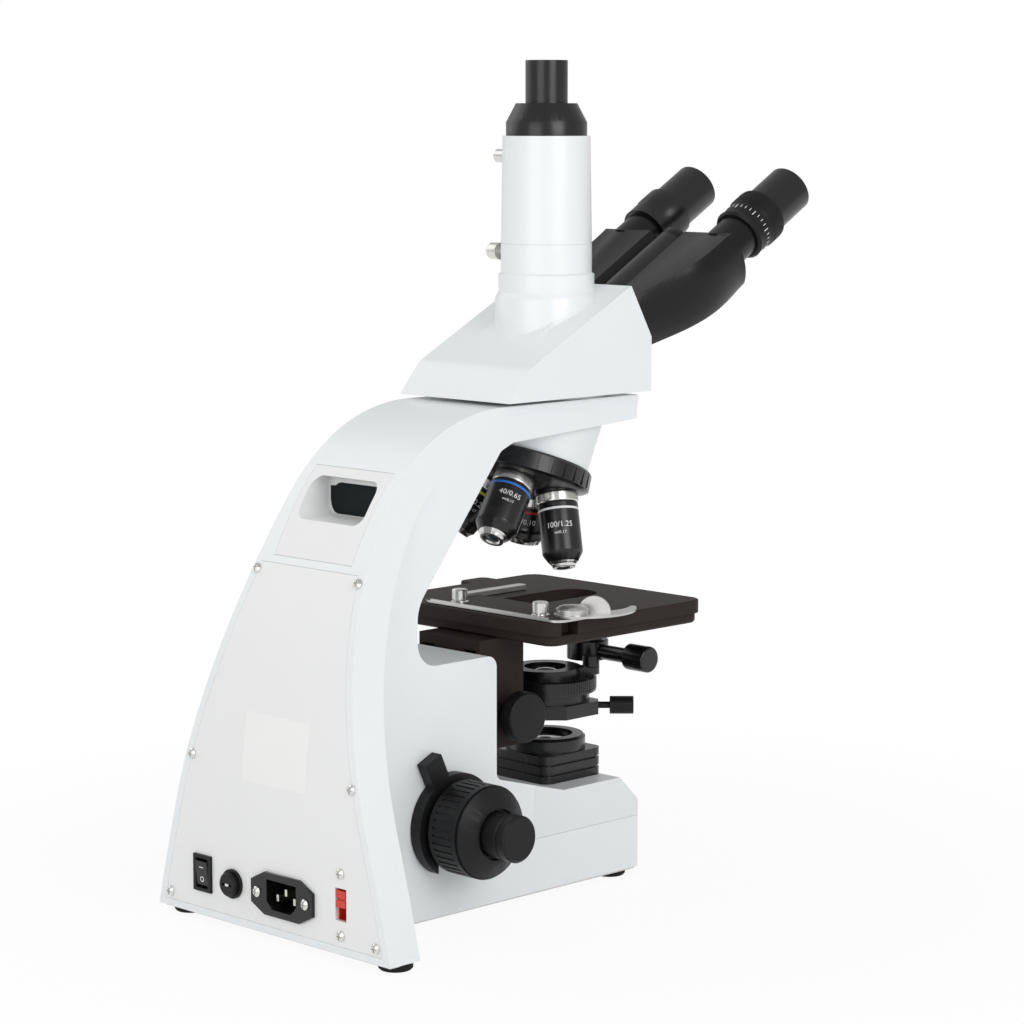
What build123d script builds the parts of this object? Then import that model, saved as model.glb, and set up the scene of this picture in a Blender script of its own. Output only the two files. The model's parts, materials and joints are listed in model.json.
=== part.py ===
from build123d import *
import math
import os

# Trinocular laboratory microscope. Lengths are millimetres and angles are degrees.
# While it is built, Z is the optical axis, z = 0 is the table and the user sits at -Y.
# At the end every piece is moved back along Y, so that the origin lies under the middle.

# Fits
RUN = 0.05
GAP = 0.3
PLAY = 0.15

# Stand: the web carries everything, the rear flange spreads the feet
WEB_HALF = 39.2
BASE_Z = 5.0
REAR_Y = 216.3
REAR_STRAIGHT_Z = 70.0
REAR_LOW_RADIUS = 307.8
REAR_BEND_Z = 240.0
ARM_TOP_Z = 288.5
FLANGE_FOOT_HALF = 97.0
FLANGE_NECK_HALF = 42.5
FLANGE_NECK_Z = 222.0
FLANGE_WAIST_HALF = 63.0
FLANGE_WAIST_Z = 128.0
FLANGE_DEPTH = 22.0
COLUMN_FRONT_Y = 79.8
LEDGE_Z = 148.2
THROAT_Y = 141.0
ARM_LOW = (129.6, 196.6)
ARM_HIGH = (76.1, 264.0)
ARM_UNDER_REAR = (66.4, 268.0)
ARM_UNDER_FRONT = (-35.9, 274.4)
ARM_NOSE_Y = -37.1
SLOPE_TOP_Z = 76.5
SLOPE_FOOT_Z = 68.0
COVER_REAR_Y = 49.0
TRAY_Z = 36.2
NOSE_CORNER_Y = -40.0
NOSE_TIP_Y = -50.0
NOSE_ROUND = 6.0
WALL = 4.0

# Lamp house cover
COVER_TOP_Z = 61.5
COVER_CHAMFER_Y = -23.0
COVER_CHAMFER_Z = 45.1
COVER_SLOPE_Y = 24.8
COVER_WALL = 2.5

# Rear panel and what it carries
PANEL_RIM = 5.0
PANEL_THICK = 2.5
PANEL_TOP_Z = 205.0
PANEL_LOW_Z = 9.0
BAY_HALF = 34.0
BAY_FRONT_Y = 150.0
BAY_LOW_Z = 12.0
BAY_TOP_Z = 120.0
WING_BAY_HALF = 76.0
WING_BAY_TOP_Z = 66.0
PANEL_SCREWS = [(41.8, 200.8), (66.6, 96.1), (86.2, 13.7)]
SCREW_HEAD_R = 3.0
SCREW_HEAD = 1.8
SCREW_SHANK_R = 1.5
SCREW_SHANK = 4.0
INLET_X = -12.0
INLET_Z = 28.0
INLET_HALF = 25.5
INLET_HIGH = 12.0
INLET_SCREW_SPACING = 40.0
INLET_FLANGE = 2.2
INLET_BODY_HALF = 13.6
INLET_BODY_HIGH = 9.8
INLET_DEPTH = 24.0
INLET_POCKET_HALF = 12.2
INLET_POCKET_HIGH = 8.2
INLET_POCKET_DEPTH = 16.5
PIN_LONG = 13.0
PIN_WIDE = 4.0
PIN_THICK = 2.0
PIN_PITCH = 7.0
PIN_RAISE = 2.0
SWITCH_X = 56.7
SWITCH_Z = 29.3
SWITCH_WIDE = 15.0
SWITCH_HIGH = 21.0
SWITCH_BODY_WIDE = 13.0
SWITCH_BODY_HIGH = 19.2
SWITCH_DEPTH = 15.0
SWITCH_RIM = 2.0
SWITCH_TILT = 8.0
FUSE_X = 31.0
FUSE_Z = 27.8
FUSE_FLANGE_R = 8.3
FUSE_BODY_R = 6.0
FUSE_BORE_R = 4.6
FUSE_FLANGE = 1.8
FUSE_CAP = 3.2
FUSE_DEPTH = 17.5
SELECT_X = -58.5
SELECT_Z = 32.3
SELECT_HALF = 4.4
SELECT_HIGH = 20.0
SELECT_SLOT = 18.0
SELECT_SLIDER = 9.4
SELECT_SCREW_SPACING = 34.2
SELECT_DEPTH = 12.0

# Handle recess in the back of the arm
HANDLE_LOW_Z = 209.0
HANDLE_TOP_Z = 257.0
HANDLE_HALF = 32.0
HANDLE_DEEP = 34.0
RECESS_HALF = 27.0
RECESS_LOW_Z = 229.0
RECESS_TOP_Z = 252.0
RECESS_DEEP = 30.0

# Underside
PLATE_THICK = 1.5
FOOT_R = 9.5
REAR_FOOT = (86.0, 202.0)
FRONT_FOOT = (27.0, -27.0)

# Lamp, field diaphragm and field lens on the base
LAMP_HALF = 24.5
LAMP_ROUND = 7.0
LAMP_TIER = 4.6
LAMP_GROOVE = 1.3
LAMP_TIERS = 3
FIELD_BORE_R = 15.0
FIELD_RING_R = 23.6
FIELD_RING_HIGH = 8.4
FIELD_LENS_R = 14.6
HEAT_SINK_R = 20.0
HEAT_SINK_HIGH = 16.0
FIN_COUNT = 12
LED_TOP_Z = 46.0

# Dimmer on the user's right side of the base
DIMMER_Y = 92.0
DIMMER_Z = 30.0
DIMMER_R = 9.0
DIMMER_LONG = 11.0

# Coaxial focus drive
FOCUS_Y = 118.0
FOCUS_Z = 57.5
COARSE_SHAFT_R = 5.0
FINE_SHAFT_R = 2.5
COARSE_IN_X = 49.5
COARSE_OUT_X = 73.0
COARSE_R = 26.5
COARSE_SLOTS = 40
CONE_OUT_X = 79.0
CONE_TIP_R = 14.5
FINE_OUT_X = 96.0
FINE_R = 13.2
LEVER_R = 29.5
LEVER_THICK = 7.6
LEVER_ARM_R = 44.0
LEVER_ARM_WIDE = 13.0
LEVER_ARM_ANGLE = 65.0
MODULE = 0.8
TEETH = 15
PRESSURE = 20.0
RACK_WIDE = 10.0
RACK_BACK = 4.0

# Stage
STAGE_HALF = 71.0
STAGE_CORNER = 10.0
STAGE_REAR_Y = 68.0
STAGE_FRONT_Y = -62.0
STAGE_TOP_Z = 168.0
UPPER_THICK = 7.8
LOWER_THICK = 5.7
LOWER_IN = 2.0
SLOT_HALF = 14.5
SLOT_REAR_Y = 48.0
SLOT_FRONT_Y = -37.0
STAGE_UP = 13.0
STAGE_DOWN = 6.0
HOLDER_REST_X = -11.0
HOLDER_THICK = 1.5
HOLDER_REAR_Y = 65.0
HOLDER_FRONT_Y = 30.0
SLIDE_LONG = 76.0
FINGER_WIDE = 7.0
FINGER_FRONT_Y = -12.0
THUMB_R = 4.6
THUMB_HIGH = 8.0
THUMB_SPACING = 65.8
THUMB_Y = 58.0
NUT_R = 9.4
NUT_IN = 5.0
NUT_X = NUT_IN - STAGE_HALF
NUT_Y = 46.0
NOTCH_REAR_Y = 59.7
NOTCH_FRONT_Y = 46.5
NOTCH_DEEP = 8.0

# Stage slide on the column
SLIDE_HALF = 25.0
SLIDE_FRONT_Y = 44.0
SLIDE_LOW_Z = 90.0
RAIL_IN_X = 12.0
RAIL_OUT_X = 22.0
RAIL_FRONT_Y = 70.0
RAIL_LOW_Z = 83.0
RAIL_TOP_Z = 141.5
SLOT_X = 8.5

# Condenser, carried by the stage slide
CARRIER_LOW_Z = 99.0
CARRIER_HIGH = 8.0
CARRIER_HALF = 28.0
CARRIER_NECK_HALF = 11.0
CARRIER_REAR_Y = 28.0
CARRIER_SIDE_Y = 11.0
CARRIER_FRONT_Y = -21.0
CARRIER_BLOCK_TOP_Z = 124.0
CONDENSER_SLEEVE_R = 18.5
CONDENSER_R = 21.0
CONDENSER_TOP_Z = 126.5
IRIS_R = 30.0
IRIS_LOW_Z = 112.8
IRIS_HIGH = 9.0
LENS_CELL_R = 12.5
LENS_CELL_LOW_Z = 127.0
LENS_CELL_HIGH = 12.0
LENS_NOSE_R = 9.0
LENS_NOSE_HIGH = 7.5
SWING_PIVOT = (-20.0, -18.0)
SWING_OUT = 83.97
HANDLE_NECK = 35.0
HANDLE_KNOB = 16.0
HANDLE_KNOB_R = 7.8
CENTRING_REACH = 38.1
CENTRING_KNOB_R = 5.3
CENTRING_KNOB_LONG = 14.0
DRIVE_Y = 56.4
DRIVE_Z = 109.0
DRIVE_KNOB_R = 14.6
DRIVE_IN_X = 33.5
DRIVE_OUT_X = 41.5
CONDENSER_UP = 13.0
CONDENSER_DOWN = 2.0

# Coaxial stage knobs on the user's right
HANGER_OUT = 5.5
HANGER_X = STAGE_HALF + HANGER_OUT
HANGER_Y = -18.0
HANGER_R = 6.5
X_KNOB_R = 10.0
Y_KNOB_R = 12.5
KNOB_LONG = 18.0
KNOB_TOP_Z = 128.0
KNOB_SHAFT_R = 3.0

# Nosepiece, leaning back towards the arm
LEAN = 21.0
SEAT_RADIUS = 21.0
SEAT_Z = 235.2
TURRET_R = 37.5
GRIP_HIGH = 12.0
GRIP_TOP = 17.5
GRIP_SLOTS = 28
REST_TURN = 60.6
THREAD_R = 10.16
OBJECTIVES = [
    ("objective_100x", 43.8, 11.9, 6.5),
    ("objective_40x", 41.5, 12.6, 7.0),
    ("objective_10x", 35.5, 12.4, 9.0),
    ("objective_4x", 29.0, 12.4, 10.0),
]

# Head
HEAD_LOW_Z = 290.7
HEAD_HALF = 45.0
HEAD_REAR_Y = 75.2
HEAD_FRONT_Y = -42.2
SEAT_RING_R = 33.0
EYE_ANGLE = 30.0
EYE_AXIS_Z = 305.6
FACE_S = 45.0
SHOULDER_REAR = (59.7, 308.9)
SADDLE_HALF = 30.0
TUBE_BASE_Z = 349.0
TUBE_RING_R = 28.1
TUBE_RING_TOP_Z = 360.1
TUBE_LOW_R = 26.6
TUBE_JOINT_Z = 376.9
TUBE_HIGH_R = 25.6
TUBE_TOP_Z = 439.1
ADAPTER_BAND_R = 23.6
ADAPTER_BAND_Z = 446.9
ADAPTER_NECK_R = 17.9
ADAPTER_NECK_Z = 457.8
PORT_R = 12.3
PORT_BORE_R = 11.6
PORT_TOP_Z = 482.5
ROD_Z = 371.0

# Eyepiece pods turn about the folded axis, so that the eye spacing is set
EYE_HALF = 38.0
HUB_R = 12.7
HUB_END_S = 131.0
HUB_STUB_R = 8.0
POD_FRONT_S = 129.0
POD_TOP = 12.7
POD_STATIONS = [
    (46.5, 27.5, -22.5),
    (62.0, 32.5, -25.0),
    (78.0, 41.0, -26.5),
    (93.0, 47.5, -27.0),
    (110.0, 50.5, -26.5),
    (POD_FRONT_S, 51.5, -24.5),
]
NECK_R = 13.5
EYE_BORE_R = 11.6
EYE_RING_S = 146.0
EYE_BARREL_S = 172.0
EYE_END_S = 201.5
EYE_RING_R = 16.6
EYE_R = 14.6
EYE_EDGE = 0.8

# The box's front is the eyepieces' rims and its back is the fuse cap
EYE_LEAN = math.radians(EYE_ANGLE)
FRONT_END_Y = -(EYE_END_S * math.cos(EYE_LEAN) + (EYE_R - EYE_EDGE) * math.sin(EYE_LEAN))
REAR_END_Y = REAR_Y + FUSE_FLANGE + RUN + FUSE_CAP
BOX_MID_Y = (FRONT_END_Y + REAR_END_Y) / 2


def block(x0, x1, y0, y1, z0, z1):
    """A box between six faces."""
    return Pos((x0 + x1) / 2, (y0 + y1) / 2, (z0 + z1) / 2) * Box(x1 - x0, y1 - y0, z1 - z0)


def post(radius, z0, z1, x=0.0, y=0.0):
    """An upright cylinder."""
    return Pos(x, y, (z0 + z1) / 2) * Cylinder(radius, z1 - z0)


def bar_x(radius, x0, x1, y, z):
    """A cylinder along X."""
    return Pos((x0 + x1) / 2, y, z) * Rot(0, 90, 0) * Cylinder(radius, abs(x1 - x0))


def bar_y(radius, y0, y1, x, z):
    """A cylinder along Y."""
    return Pos(x, (y0 + y1) / 2, z) * Rot(90, 0, 0) * Cylinder(radius, abs(y1 - y0))


def together(solids):
    """Separate solids of one kind, as one piece."""
    return Part() + list(solids)


def turned(*points):
    """A solid of revolution about Z from (radius, height) points."""
    return revolve(make_face(Polyline(*[(r, 0, z) for r, z in points], close=True)), Axis.Z)


def prism_x(points, half, rounds=()):
    """A (y, z) outline pushed out to both sides of x = 0. Rounds are (corner, radius) pairs."""
    face = make_face(Polyline(*[(0, y, z) for y, z in points], close=True))
    for (y, z), radius in rounds:
        corner = face.vertices().sort_by_distance((0, y, z))[0]
        face = fillet(corner, radius)
    return extrude(face, half, dir=(1, 0, 0), both=True)


def rear_y(z):
    """Where the rear face lies at a height."""
    if z <= REAR_STRAIGHT_Z:
        return REAR_Y
    if z <= REAR_BEND_Z:
        return REAR_Y - REAR_LOW_RADIUS + math.sqrt(REAR_LOW_RADIUS**2 - (z - REAR_STRAIGHT_Z) ** 2)
    sine = (REAR_BEND_Z - REAR_STRAIGHT_Z) / REAR_LOW_RADIUS
    radius = (ARM_TOP_Z - REAR_BEND_Z) / (1 - sine)
    centre = rear_y(REAR_BEND_Z) - radius * math.sqrt(1 - sine**2)
    height = sine * radius + z - REAR_BEND_Z
    return centre + math.sqrt(max(radius**2 - height**2, 0.0))


def rear_curve(inset, z_low, z_high):
    """The rear face's line in the plane x = 0, moved inwards, with its straight and its two arcs."""
    sine = (REAR_BEND_Z - REAR_STRAIGHT_Z) / REAR_LOW_RADIUS
    cosine = math.sqrt(1 - sine**2)
    low_centre = REAR_Y - REAR_LOW_RADIUS
    high_radius = (ARM_TOP_Z - REAR_BEND_Z) / (1 - sine)
    high_centre = (rear_y(REAR_BEND_Z) - high_radius * cosine, REAR_BEND_Z - high_radius * sine)

    def low(angle):
        reach = REAR_LOW_RADIUS - inset
        return (0, low_centre + reach * math.cos(angle), REAR_STRAIGHT_Z + reach * math.sin(angle))

    def high(angle):
        reach = high_radius - inset
        return (0, high_centre[0] + reach * math.cos(angle), high_centre[1] + reach * math.sin(angle))

    bend = math.asin(sine)
    lines = [Line((0, REAR_Y - inset, z_low), low(0))]
    if z_high > REAR_BEND_Z:
        top = math.asin(min(1.0, (z_high - high_centre[1]) / (high_radius - inset)))
        lines.append(ThreePointArc(low(0), low(bend / 2), low(bend)))
        lines.append(ThreePointArc(high(bend), high((bend + top) / 2), high(top)))
    else:
        top = math.asin((z_high - REAR_STRAIGHT_Z) / (REAR_LOW_RADIUS - inset))
        lines.append(ThreePointArc(low(0), low(top / 2), low(top)))
    return lines


def band_between(inset_out, inset_in, z_low, z_high, half):
    """A curved wall that follows the rear face between two depths and two heights."""
    outer = rear_curve(inset_out, z_low, z_high)
    inner = rear_curve(inset_in, z_low, z_high)
    edges = outer + inner
    edges.append(Line(outer[0] @ 0, inner[0] @ 0))
    edges.append(Line(outer[-1] @ 1, inner[-1] @ 1))
    return extrude(make_face(Wire(edges)), half, dir=(1, 0, 0), both=True)


def flange_outline(inset, z_low, z_high):
    """The flange seen from behind: wide at the feet, drawn in towards the arm."""
    foot = (FLANGE_FOOT_HALF - inset, z_low)
    waist = (FLANGE_WAIST_HALF - inset, FLANGE_WAIST_Z)
    neck = (FLANGE_NECK_HALF - inset, FLANGE_NECK_Z)
    top = (WEB_HALF - inset, ARM_TOP_Z)
    right = Spline([(x, 0, z) for x, z in (foot, waist, neck, top)])
    left = Spline([(-x, 0, z) for x, z in (foot, waist, neck, top)])
    low = Line(left @ 0, right @ 0)
    high = Line(left @ 1, right @ 1)
    face = make_face(Wire([right, high, left, low]))
    body = extrude(face, 400, dir=(0, 1, 0), both=True)
    return body & block(-200, 200, -400, 400, z_low, z_high)


def plan_outline(inset, z0, z1):
    """The stand's web seen from above, with its bulged front end."""
    side = WEB_HALF - inset
    tip = NOSE_TIP_Y + inset
    corner = NOSE_CORNER_Y
    nose = ThreePointArc((-side, corner, z0), (0, tip, z0), (side, corner, z0))
    back = Polyline((side, corner, z0), (side, REAR_Y + 50, z0), (-side, REAR_Y + 50, z0), (-side, corner, z0))
    face = make_face(Wire([nose] + back.edges()))
    corners = face.vertices().sort_by(Axis.Y)[0:2]
    return extrude(fillet(corners, NOSE_ROUND), z1 - z0, dir=(0, 0, 1))


def web_solid():
    """The C-shaped web: tray, column with its ledge, throat and arm."""
    front = [
        (NOSE_TIP_Y - 5, BASE_Z),
        (NOSE_TIP_Y - 5, TRAY_Z),
        (COVER_REAR_Y, TRAY_Z),
        (COVER_REAR_Y, SLOPE_FOOT_Z),
        (COLUMN_FRONT_Y, SLOPE_TOP_Z),
        (COLUMN_FRONT_Y, LEDGE_Z),
        (THROAT_Y, LEDGE_Z),
    ]
    slope = (ARM_HIGH[0] - ARM_LOW[0]) / (ARM_HIGH[1] - ARM_LOW[1])
    throat_top = (THROAT_Y, ARM_LOW[1] + (THROAT_Y - ARM_LOW[0]) / slope)
    arm = [throat_top, ARM_HIGH, ARM_UNDER_REAR, ARM_UNDER_FRONT, (ARM_NOSE_Y, ARM_TOP_Z)]
    curve = rear_curve(0.0, BASE_Z, ARM_TOP_Z)
    points = [(0, y, z) for y, z in front + arm]
    line = Polyline(*points, curve[-1] @ 1)
    low = Line(points[0], curve[0] @ 0)
    face = make_face(Wire(line.edges() + curve + [low]))
    rounds = [
        ((COLUMN_FRONT_Y, LEDGE_Z), 7.0),
        ((THROAT_Y, LEDGE_Z), 14.0),
        (throat_top, 24.0),
        (ARM_HIGH, 6.0),
        ((COLUMN_FRONT_Y, SLOPE_TOP_Z), 5.0),
    ]
    for (y, z), radius in rounds:
        face = fillet(face.vertices().sort_by_distance((0, y, z))[0], radius)
    web = extrude(face, WEB_HALF, dir=(1, 0, 0), both=True)
    return web & plan_outline(0.0, BASE_Z, ARM_TOP_Z)


def flange_solid():
    """The rear flange: a curved plate cut to the rear outline."""
    band = band_between(0.0, FLANGE_DEPTH, BASE_Z, ARM_TOP_Z - 2.5, 110.0)
    return band & flange_outline(0.0, BASE_Z, ARM_TOP_Z)


def stand_casting():
    """The one-piece stand."""
    body = web_solid() + flange_solid()
    # the rear panel's rebate, the electronics bay and the wings' shallow bay
    body -= panel_blank(0.0)
    body -= block(-BAY_HALF, BAY_HALF, BAY_FRONT_Y, REAR_Y, BAY_LOW_Z, BAY_TOP_Z)
    wing = block(-WING_BAY_HALF, WING_BAY_HALF, REAR_Y - FLANGE_DEPTH + WALL, REAR_Y, BAY_LOW_Z, WING_BAY_TOP_Z)
    body -= wing
    # the lamp bay, open below and above
    body -= plan_outline(WALL, BASE_Z, TRAY_Z) & block(-60, 60, -80, COVER_REAR_Y - WALL, BASE_Z, TRAY_Z)
    # the slot for the focus rack, and the shaft's bearing
    body -= block(-SLOT_X, SLOT_X, 98, FOCUS_Y + 9, 26, LEDGE_Z - 2)
    body -= block(-SLOT_X, SLOT_X, COLUMN_FRONT_Y - 1, 98.5, RAIL_LOW_Z, LEDGE_Z - 2)
    body -= bar_x(COARSE_SHAFT_R + RUN, -WEB_HALF - 1, WEB_HALF + 1, FOCUS_Y, FOCUS_Z)
    body -= bar_x(3.0 + RUN, 0, WEB_HALF + 1, DIMMER_Y, DIMMER_Z)
    body -= handle_blank(0.0)
    for x, z in panel_screw_places():
        body -= screw_hole(x, z, SCREW_SHANK_R, SCREW_SHANK + 3)
    body += post(36.0, ARM_TOP_Z - 1, HEAD_LOW_Z - GAP) + head_seat()
    return body - post(20.0, ARM_TOP_Z - 30, HEAD_LOW_Z + 10)


def panel_blank(gap):
    """The rear panel's own shape, less a gap all round."""
    band = band_between(0.0, PANEL_THICK, BASE_Z, PANEL_TOP_Z + 10, 110.0)
    rim = flange_outline(PANEL_RIM + gap, BASE_Z, ARM_TOP_Z)
    return band & rim & block(-120, 120, 0, REAR_Y + 50, PANEL_LOW_Z + gap, PANEL_TOP_Z - gap)


def panel_screw_places():
    """The six panel screws as (x, z)."""
    return [(side * x, z) for x, z in PANEL_SCREWS for side in (-1, 1)]


def rear_panel():
    """The curved rear cover with the openings for inlet, fuse, switch and selector."""
    body = panel_blank(PLAY)
    body -= block(INLET_X - INLET_BODY_HALF - PLAY, INLET_X + INLET_BODY_HALF + PLAY, 150, 250,
                  INLET_Z - INLET_BODY_HIGH - PLAY, INLET_Z + INLET_BODY_HIGH + PLAY)
    body -= block(SWITCH_X - SWITCH_BODY_WIDE / 2 - PLAY, SWITCH_X + SWITCH_BODY_WIDE / 2 + PLAY, 150, 250,
                  SWITCH_Z - SWITCH_BODY_HIGH / 2 - PLAY, SWITCH_Z + SWITCH_BODY_HIGH / 2 + PLAY)
    body -= bar_y(FUSE_BODY_R + PLAY, 150, 250, FUSE_X, FUSE_Z)
    body -= block(SELECT_X - SELECT_HALF, SELECT_X + SELECT_HALF, 150, 250,
                  SELECT_Z - SELECT_SLOT / 2, SELECT_Z + SELECT_SLOT / 2)
    for x, z in panel_screw_places():
        body -= screw_hole(x, z, SCREW_SHANK_R, SCREW_SHANK + 3)
    for side in (-1, 1):
        body -= bar_y(SCREW_SHANK_R + PLAY, 150, 250, INLET_X + side * INLET_SCREW_SPACING / 2, INLET_Z)
        body -= bar_y(SCREW_SHANK_R + PLAY, 150, 250, SELECT_X, SELECT_Z + side * SELECT_SCREW_SPACING / 2)
    return body


def rear_tilt(z):
    """How far the rear face leans forward at a height, in degrees."""
    rise = max(0.0, z - REAR_STRAIGHT_Z) / REAR_LOW_RADIUS
    return math.degrees(math.asin(rise))


def rear_place(x, z, proud=0.0):
    """A frame on the rear face, with +Z square to it and outwards."""
    lean = math.radians(rear_tilt(z))
    outwards = (0, math.cos(lean), math.sin(lean))
    return Plane(origin=(x, rear_y(z) + proud, z), x_dir=(1, 0, 0), z_dir=outwards).location


def screw_hole(x, z, radius, depth):
    """A screw's hole, square to the rear face."""
    return rear_place(x, z) * Pos(0, 0, (2 - depth) / 2) * Cylinder(radius, depth + 2)


def rear_screw():
    """A pan-head screw with a cross slot, its head resting on z = 0."""
    head = turned((0, 0), (SCREW_HEAD_R, 0), (SCREW_HEAD_R, SCREW_HEAD * 0.45), (SCREW_HEAD_R * 0.55, SCREW_HEAD), (0, SCREW_HEAD))
    shank = post(SCREW_SHANK_R - PLAY, -SCREW_SHANK, 0.1)
    cross = Box(3.6, 0.8, 1.6) + Box(0.8, 3.6, 1.6)
    return head + shank - Pos(0, 0, SCREW_HEAD) * cross


def rear_screws():
    """Panel, inlet and selector screws: ten of one kind."""
    screw = rear_screw()
    places = [rear_place(x, z) for x, z in panel_screw_places()]
    for side in (-1, 1):
        places.append(rear_place(INLET_X + side * INLET_SCREW_SPACING / 2, INLET_Z, INLET_FLANGE))
        places.append(rear_place(SELECT_X, SELECT_Z + side * SELECT_SCREW_SPACING / 2))
    return together(place * screw for place in places)


def inlet_housing():
    """The mains inlet: flange, body and the hexagonal pocket."""
    half = INLET_HALF
    ear = 6.5
    outline = [
        (-half, -ear), (-half, ear), (-14.5, INLET_HIGH), (14.5, INLET_HIGH),
        (half, ear), (half, -ear), (14.5, -INLET_HIGH), (-14.5, -INLET_HIGH),
    ]
    face = make_face(Polyline(*[(INLET_X + x, REAR_Y, INLET_Z + z) for x, z in outline], close=True))
    flange = extrude(face, INLET_FLANGE, dir=(0, 1, 0))
    body = block(INLET_X - INLET_BODY_HALF, INLET_X + INLET_BODY_HALF, REAR_Y - INLET_DEPTH, REAR_Y,
                 INLET_Z - INLET_BODY_HIGH, INLET_Z + INLET_BODY_HIGH)
    w = INLET_POCKET_HALF
    h = INLET_POCKET_HIGH
    pocket = [(-w, -h + 4.5), (-w, h), (w, h), (w, -h + 4.5), (w - 4.5, -h), (-w + 4.5, -h)]
    mouth = REAR_Y + INLET_FLANGE
    face = make_face(Polyline(*[(INLET_X + x, mouth, INLET_Z + z) for x, z in pocket], close=True))
    hollow = extrude(face, INLET_POCKET_DEPTH, dir=(0, -1, 0))
    housing = flange + body - hollow
    for side in (-1, 1):
        housing -= bar_y(SCREW_SHANK_R, REAR_Y - 10, REAR_Y + 10, INLET_X + side * INLET_SCREW_SPACING / 2, INLET_Z)
    for x, z in inlet_pin_places():
        slot = block(x - PIN_THICK / 2, x + PIN_THICK / 2, REAR_Y - INLET_DEPTH - 1, REAR_Y,
                     z - PIN_WIDE / 2, z + PIN_WIDE / 2)
        housing -= slot
    return housing


def inlet_pin_places():
    """The three flat pins, the earth pin standing higher than its neighbours."""
    return [(INLET_X - PIN_PITCH, INLET_Z - PIN_RAISE), (INLET_X, INLET_Z + PIN_RAISE),
            (INLET_X + PIN_PITCH, INLET_Z - PIN_RAISE)]


def inlet_pins():
    """Three pins that run from the pocket to tags behind the housing."""
    floor = REAR_Y + INLET_FLANGE - INLET_POCKET_DEPTH
    pins = []
    for x, z in inlet_pin_places():
        pins.append(block(x - PIN_THICK / 2, x + PIN_THICK / 2, REAR_Y - INLET_DEPTH - 5, floor + PIN_LONG,
                          z - PIN_WIDE / 2, z + PIN_WIDE / 2))
    return together(pins)


def switch_frame():
    """The rocker switch's frame and body with a trough for the rocker."""
    w = SWITCH_WIDE / 2
    h = SWITCH_HIGH / 2
    frame = block(SWITCH_X - w, SWITCH_X + w, REAR_Y, REAR_Y + 1.6, SWITCH_Z - h, SWITCH_Z + h)
    bw = SWITCH_BODY_WIDE / 2
    bh = SWITCH_BODY_HIGH / 2
    body = block(SWITCH_X - bw, SWITCH_X + bw, REAR_Y - SWITCH_DEPTH, REAR_Y, SWITCH_Z - bh, SWITCH_Z + bh)
    trough = block(SWITCH_X - bw + SWITCH_RIM - 0.6, SWITCH_X + bw - SWITCH_RIM + 0.6, REAR_Y - 8, REAR_Y + 5,
                   SWITCH_Z - h + SWITCH_RIM, SWITCH_Z + h - SWITCH_RIM)
    pivot = bar_x(1.0 + RUN, SWITCH_X - w + 0.8, SWITCH_X + w - 0.8, REAR_Y - 3.5, SWITCH_Z)
    return frame + body - trough - pivot


def switch_rocker():
    """The rocker: a shallow V with its pivot pin."""
    half = SWITCH_BODY_WIDE / 2 - SWITCH_RIM + 0.6 - GAP
    reach = SWITCH_HIGH / 2 - SWITCH_RIM - 1.6
    tip = math.tan(math.radians(SWITCH_TILT)) * reach
    y = REAR_Y + 1.2
    outline = [(y - tip * 0.2, -reach), (y - tip * 0.2 + 0.6, 0), (y + tip, reach), (y + tip - 4, reach),
               (y - 6.3, 1.6), (y - 6.3, -1.6), (y - 4.2, -reach)]
    face = make_face(Polyline(*[(SWITCH_X, b, SWITCH_Z + c) for b, c in outline], close=True))
    body = extrude(face, half, dir=(1, 0, 0), both=True)
    return body + bar_x(1.0, SWITCH_X - half - 0.9, SWITCH_X + half + 0.9, REAR_Y - 3.5, SWITCH_Z)


def fuse_holder():
    """The fuse holder's flange and barrel."""
    flange = bar_y(FUSE_FLANGE_R, REAR_Y, REAR_Y + FUSE_FLANGE, FUSE_X, FUSE_Z)
    body = bar_y(FUSE_BODY_R, REAR_Y - FUSE_DEPTH, REAR_Y + 0.1, FUSE_X, FUSE_Z)
    return flange + body - bar_y(FUSE_BORE_R, REAR_Y - FUSE_DEPTH + 2, REAR_Y + 3, FUSE_X, FUSE_Z)


def fuse_cap():
    """The fuse cap, with a screwdriver slot and the fuse's clip stem."""
    seat = REAR_Y + FUSE_FLANGE + RUN
    cap = bar_y(FUSE_FLANGE_R - 1.6, seat, seat + FUSE_CAP, FUSE_X, FUSE_Z)
    cap = chamfer(cap.edges().group_by(Axis.Y)[-1], 0.8)
    stem = bar_y(FUSE_BORE_R - RUN, REAR_Y - FUSE_DEPTH + 6, seat, FUSE_X, FUSE_Z)
    slot = block(FUSE_X - 4.0, FUSE_X + 4.0, seat + 2, seat + 5, FUSE_Z - 0.7, FUSE_Z + 0.7)
    return cap + stem - slot


def selector_body():
    """The voltage selector behind the panel."""
    y = REAR_Y - PANEL_THICK - PLAY
    plate = block(SELECT_X - 6.5, SELECT_X + 6.5, y - 1.2, y, SELECT_Z - 20, SELECT_Z + 20)
    box = block(SELECT_X - 6.0, SELECT_X + 6.0, y - SELECT_DEPTH, y - 1.2, SELECT_Z - SELECT_HIGH / 2 - 1,
                SELECT_Z + SELECT_HIGH / 2 + 1)
    run = block(SELECT_X - SELECT_HALF + 0.6, SELECT_X + SELECT_HALF - 0.6, y - 6, y + 1,
                SELECT_Z - SELECT_SLOT / 2, SELECT_Z + SELECT_SLOT / 2)
    body = plate + box - run
    for side in (-1, 1):
        body -= bar_y(SCREW_SHANK_R, y - 5, y + 5, SELECT_X, SELECT_Z + side * SELECT_SCREW_SPACING / 2)
    return body


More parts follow.
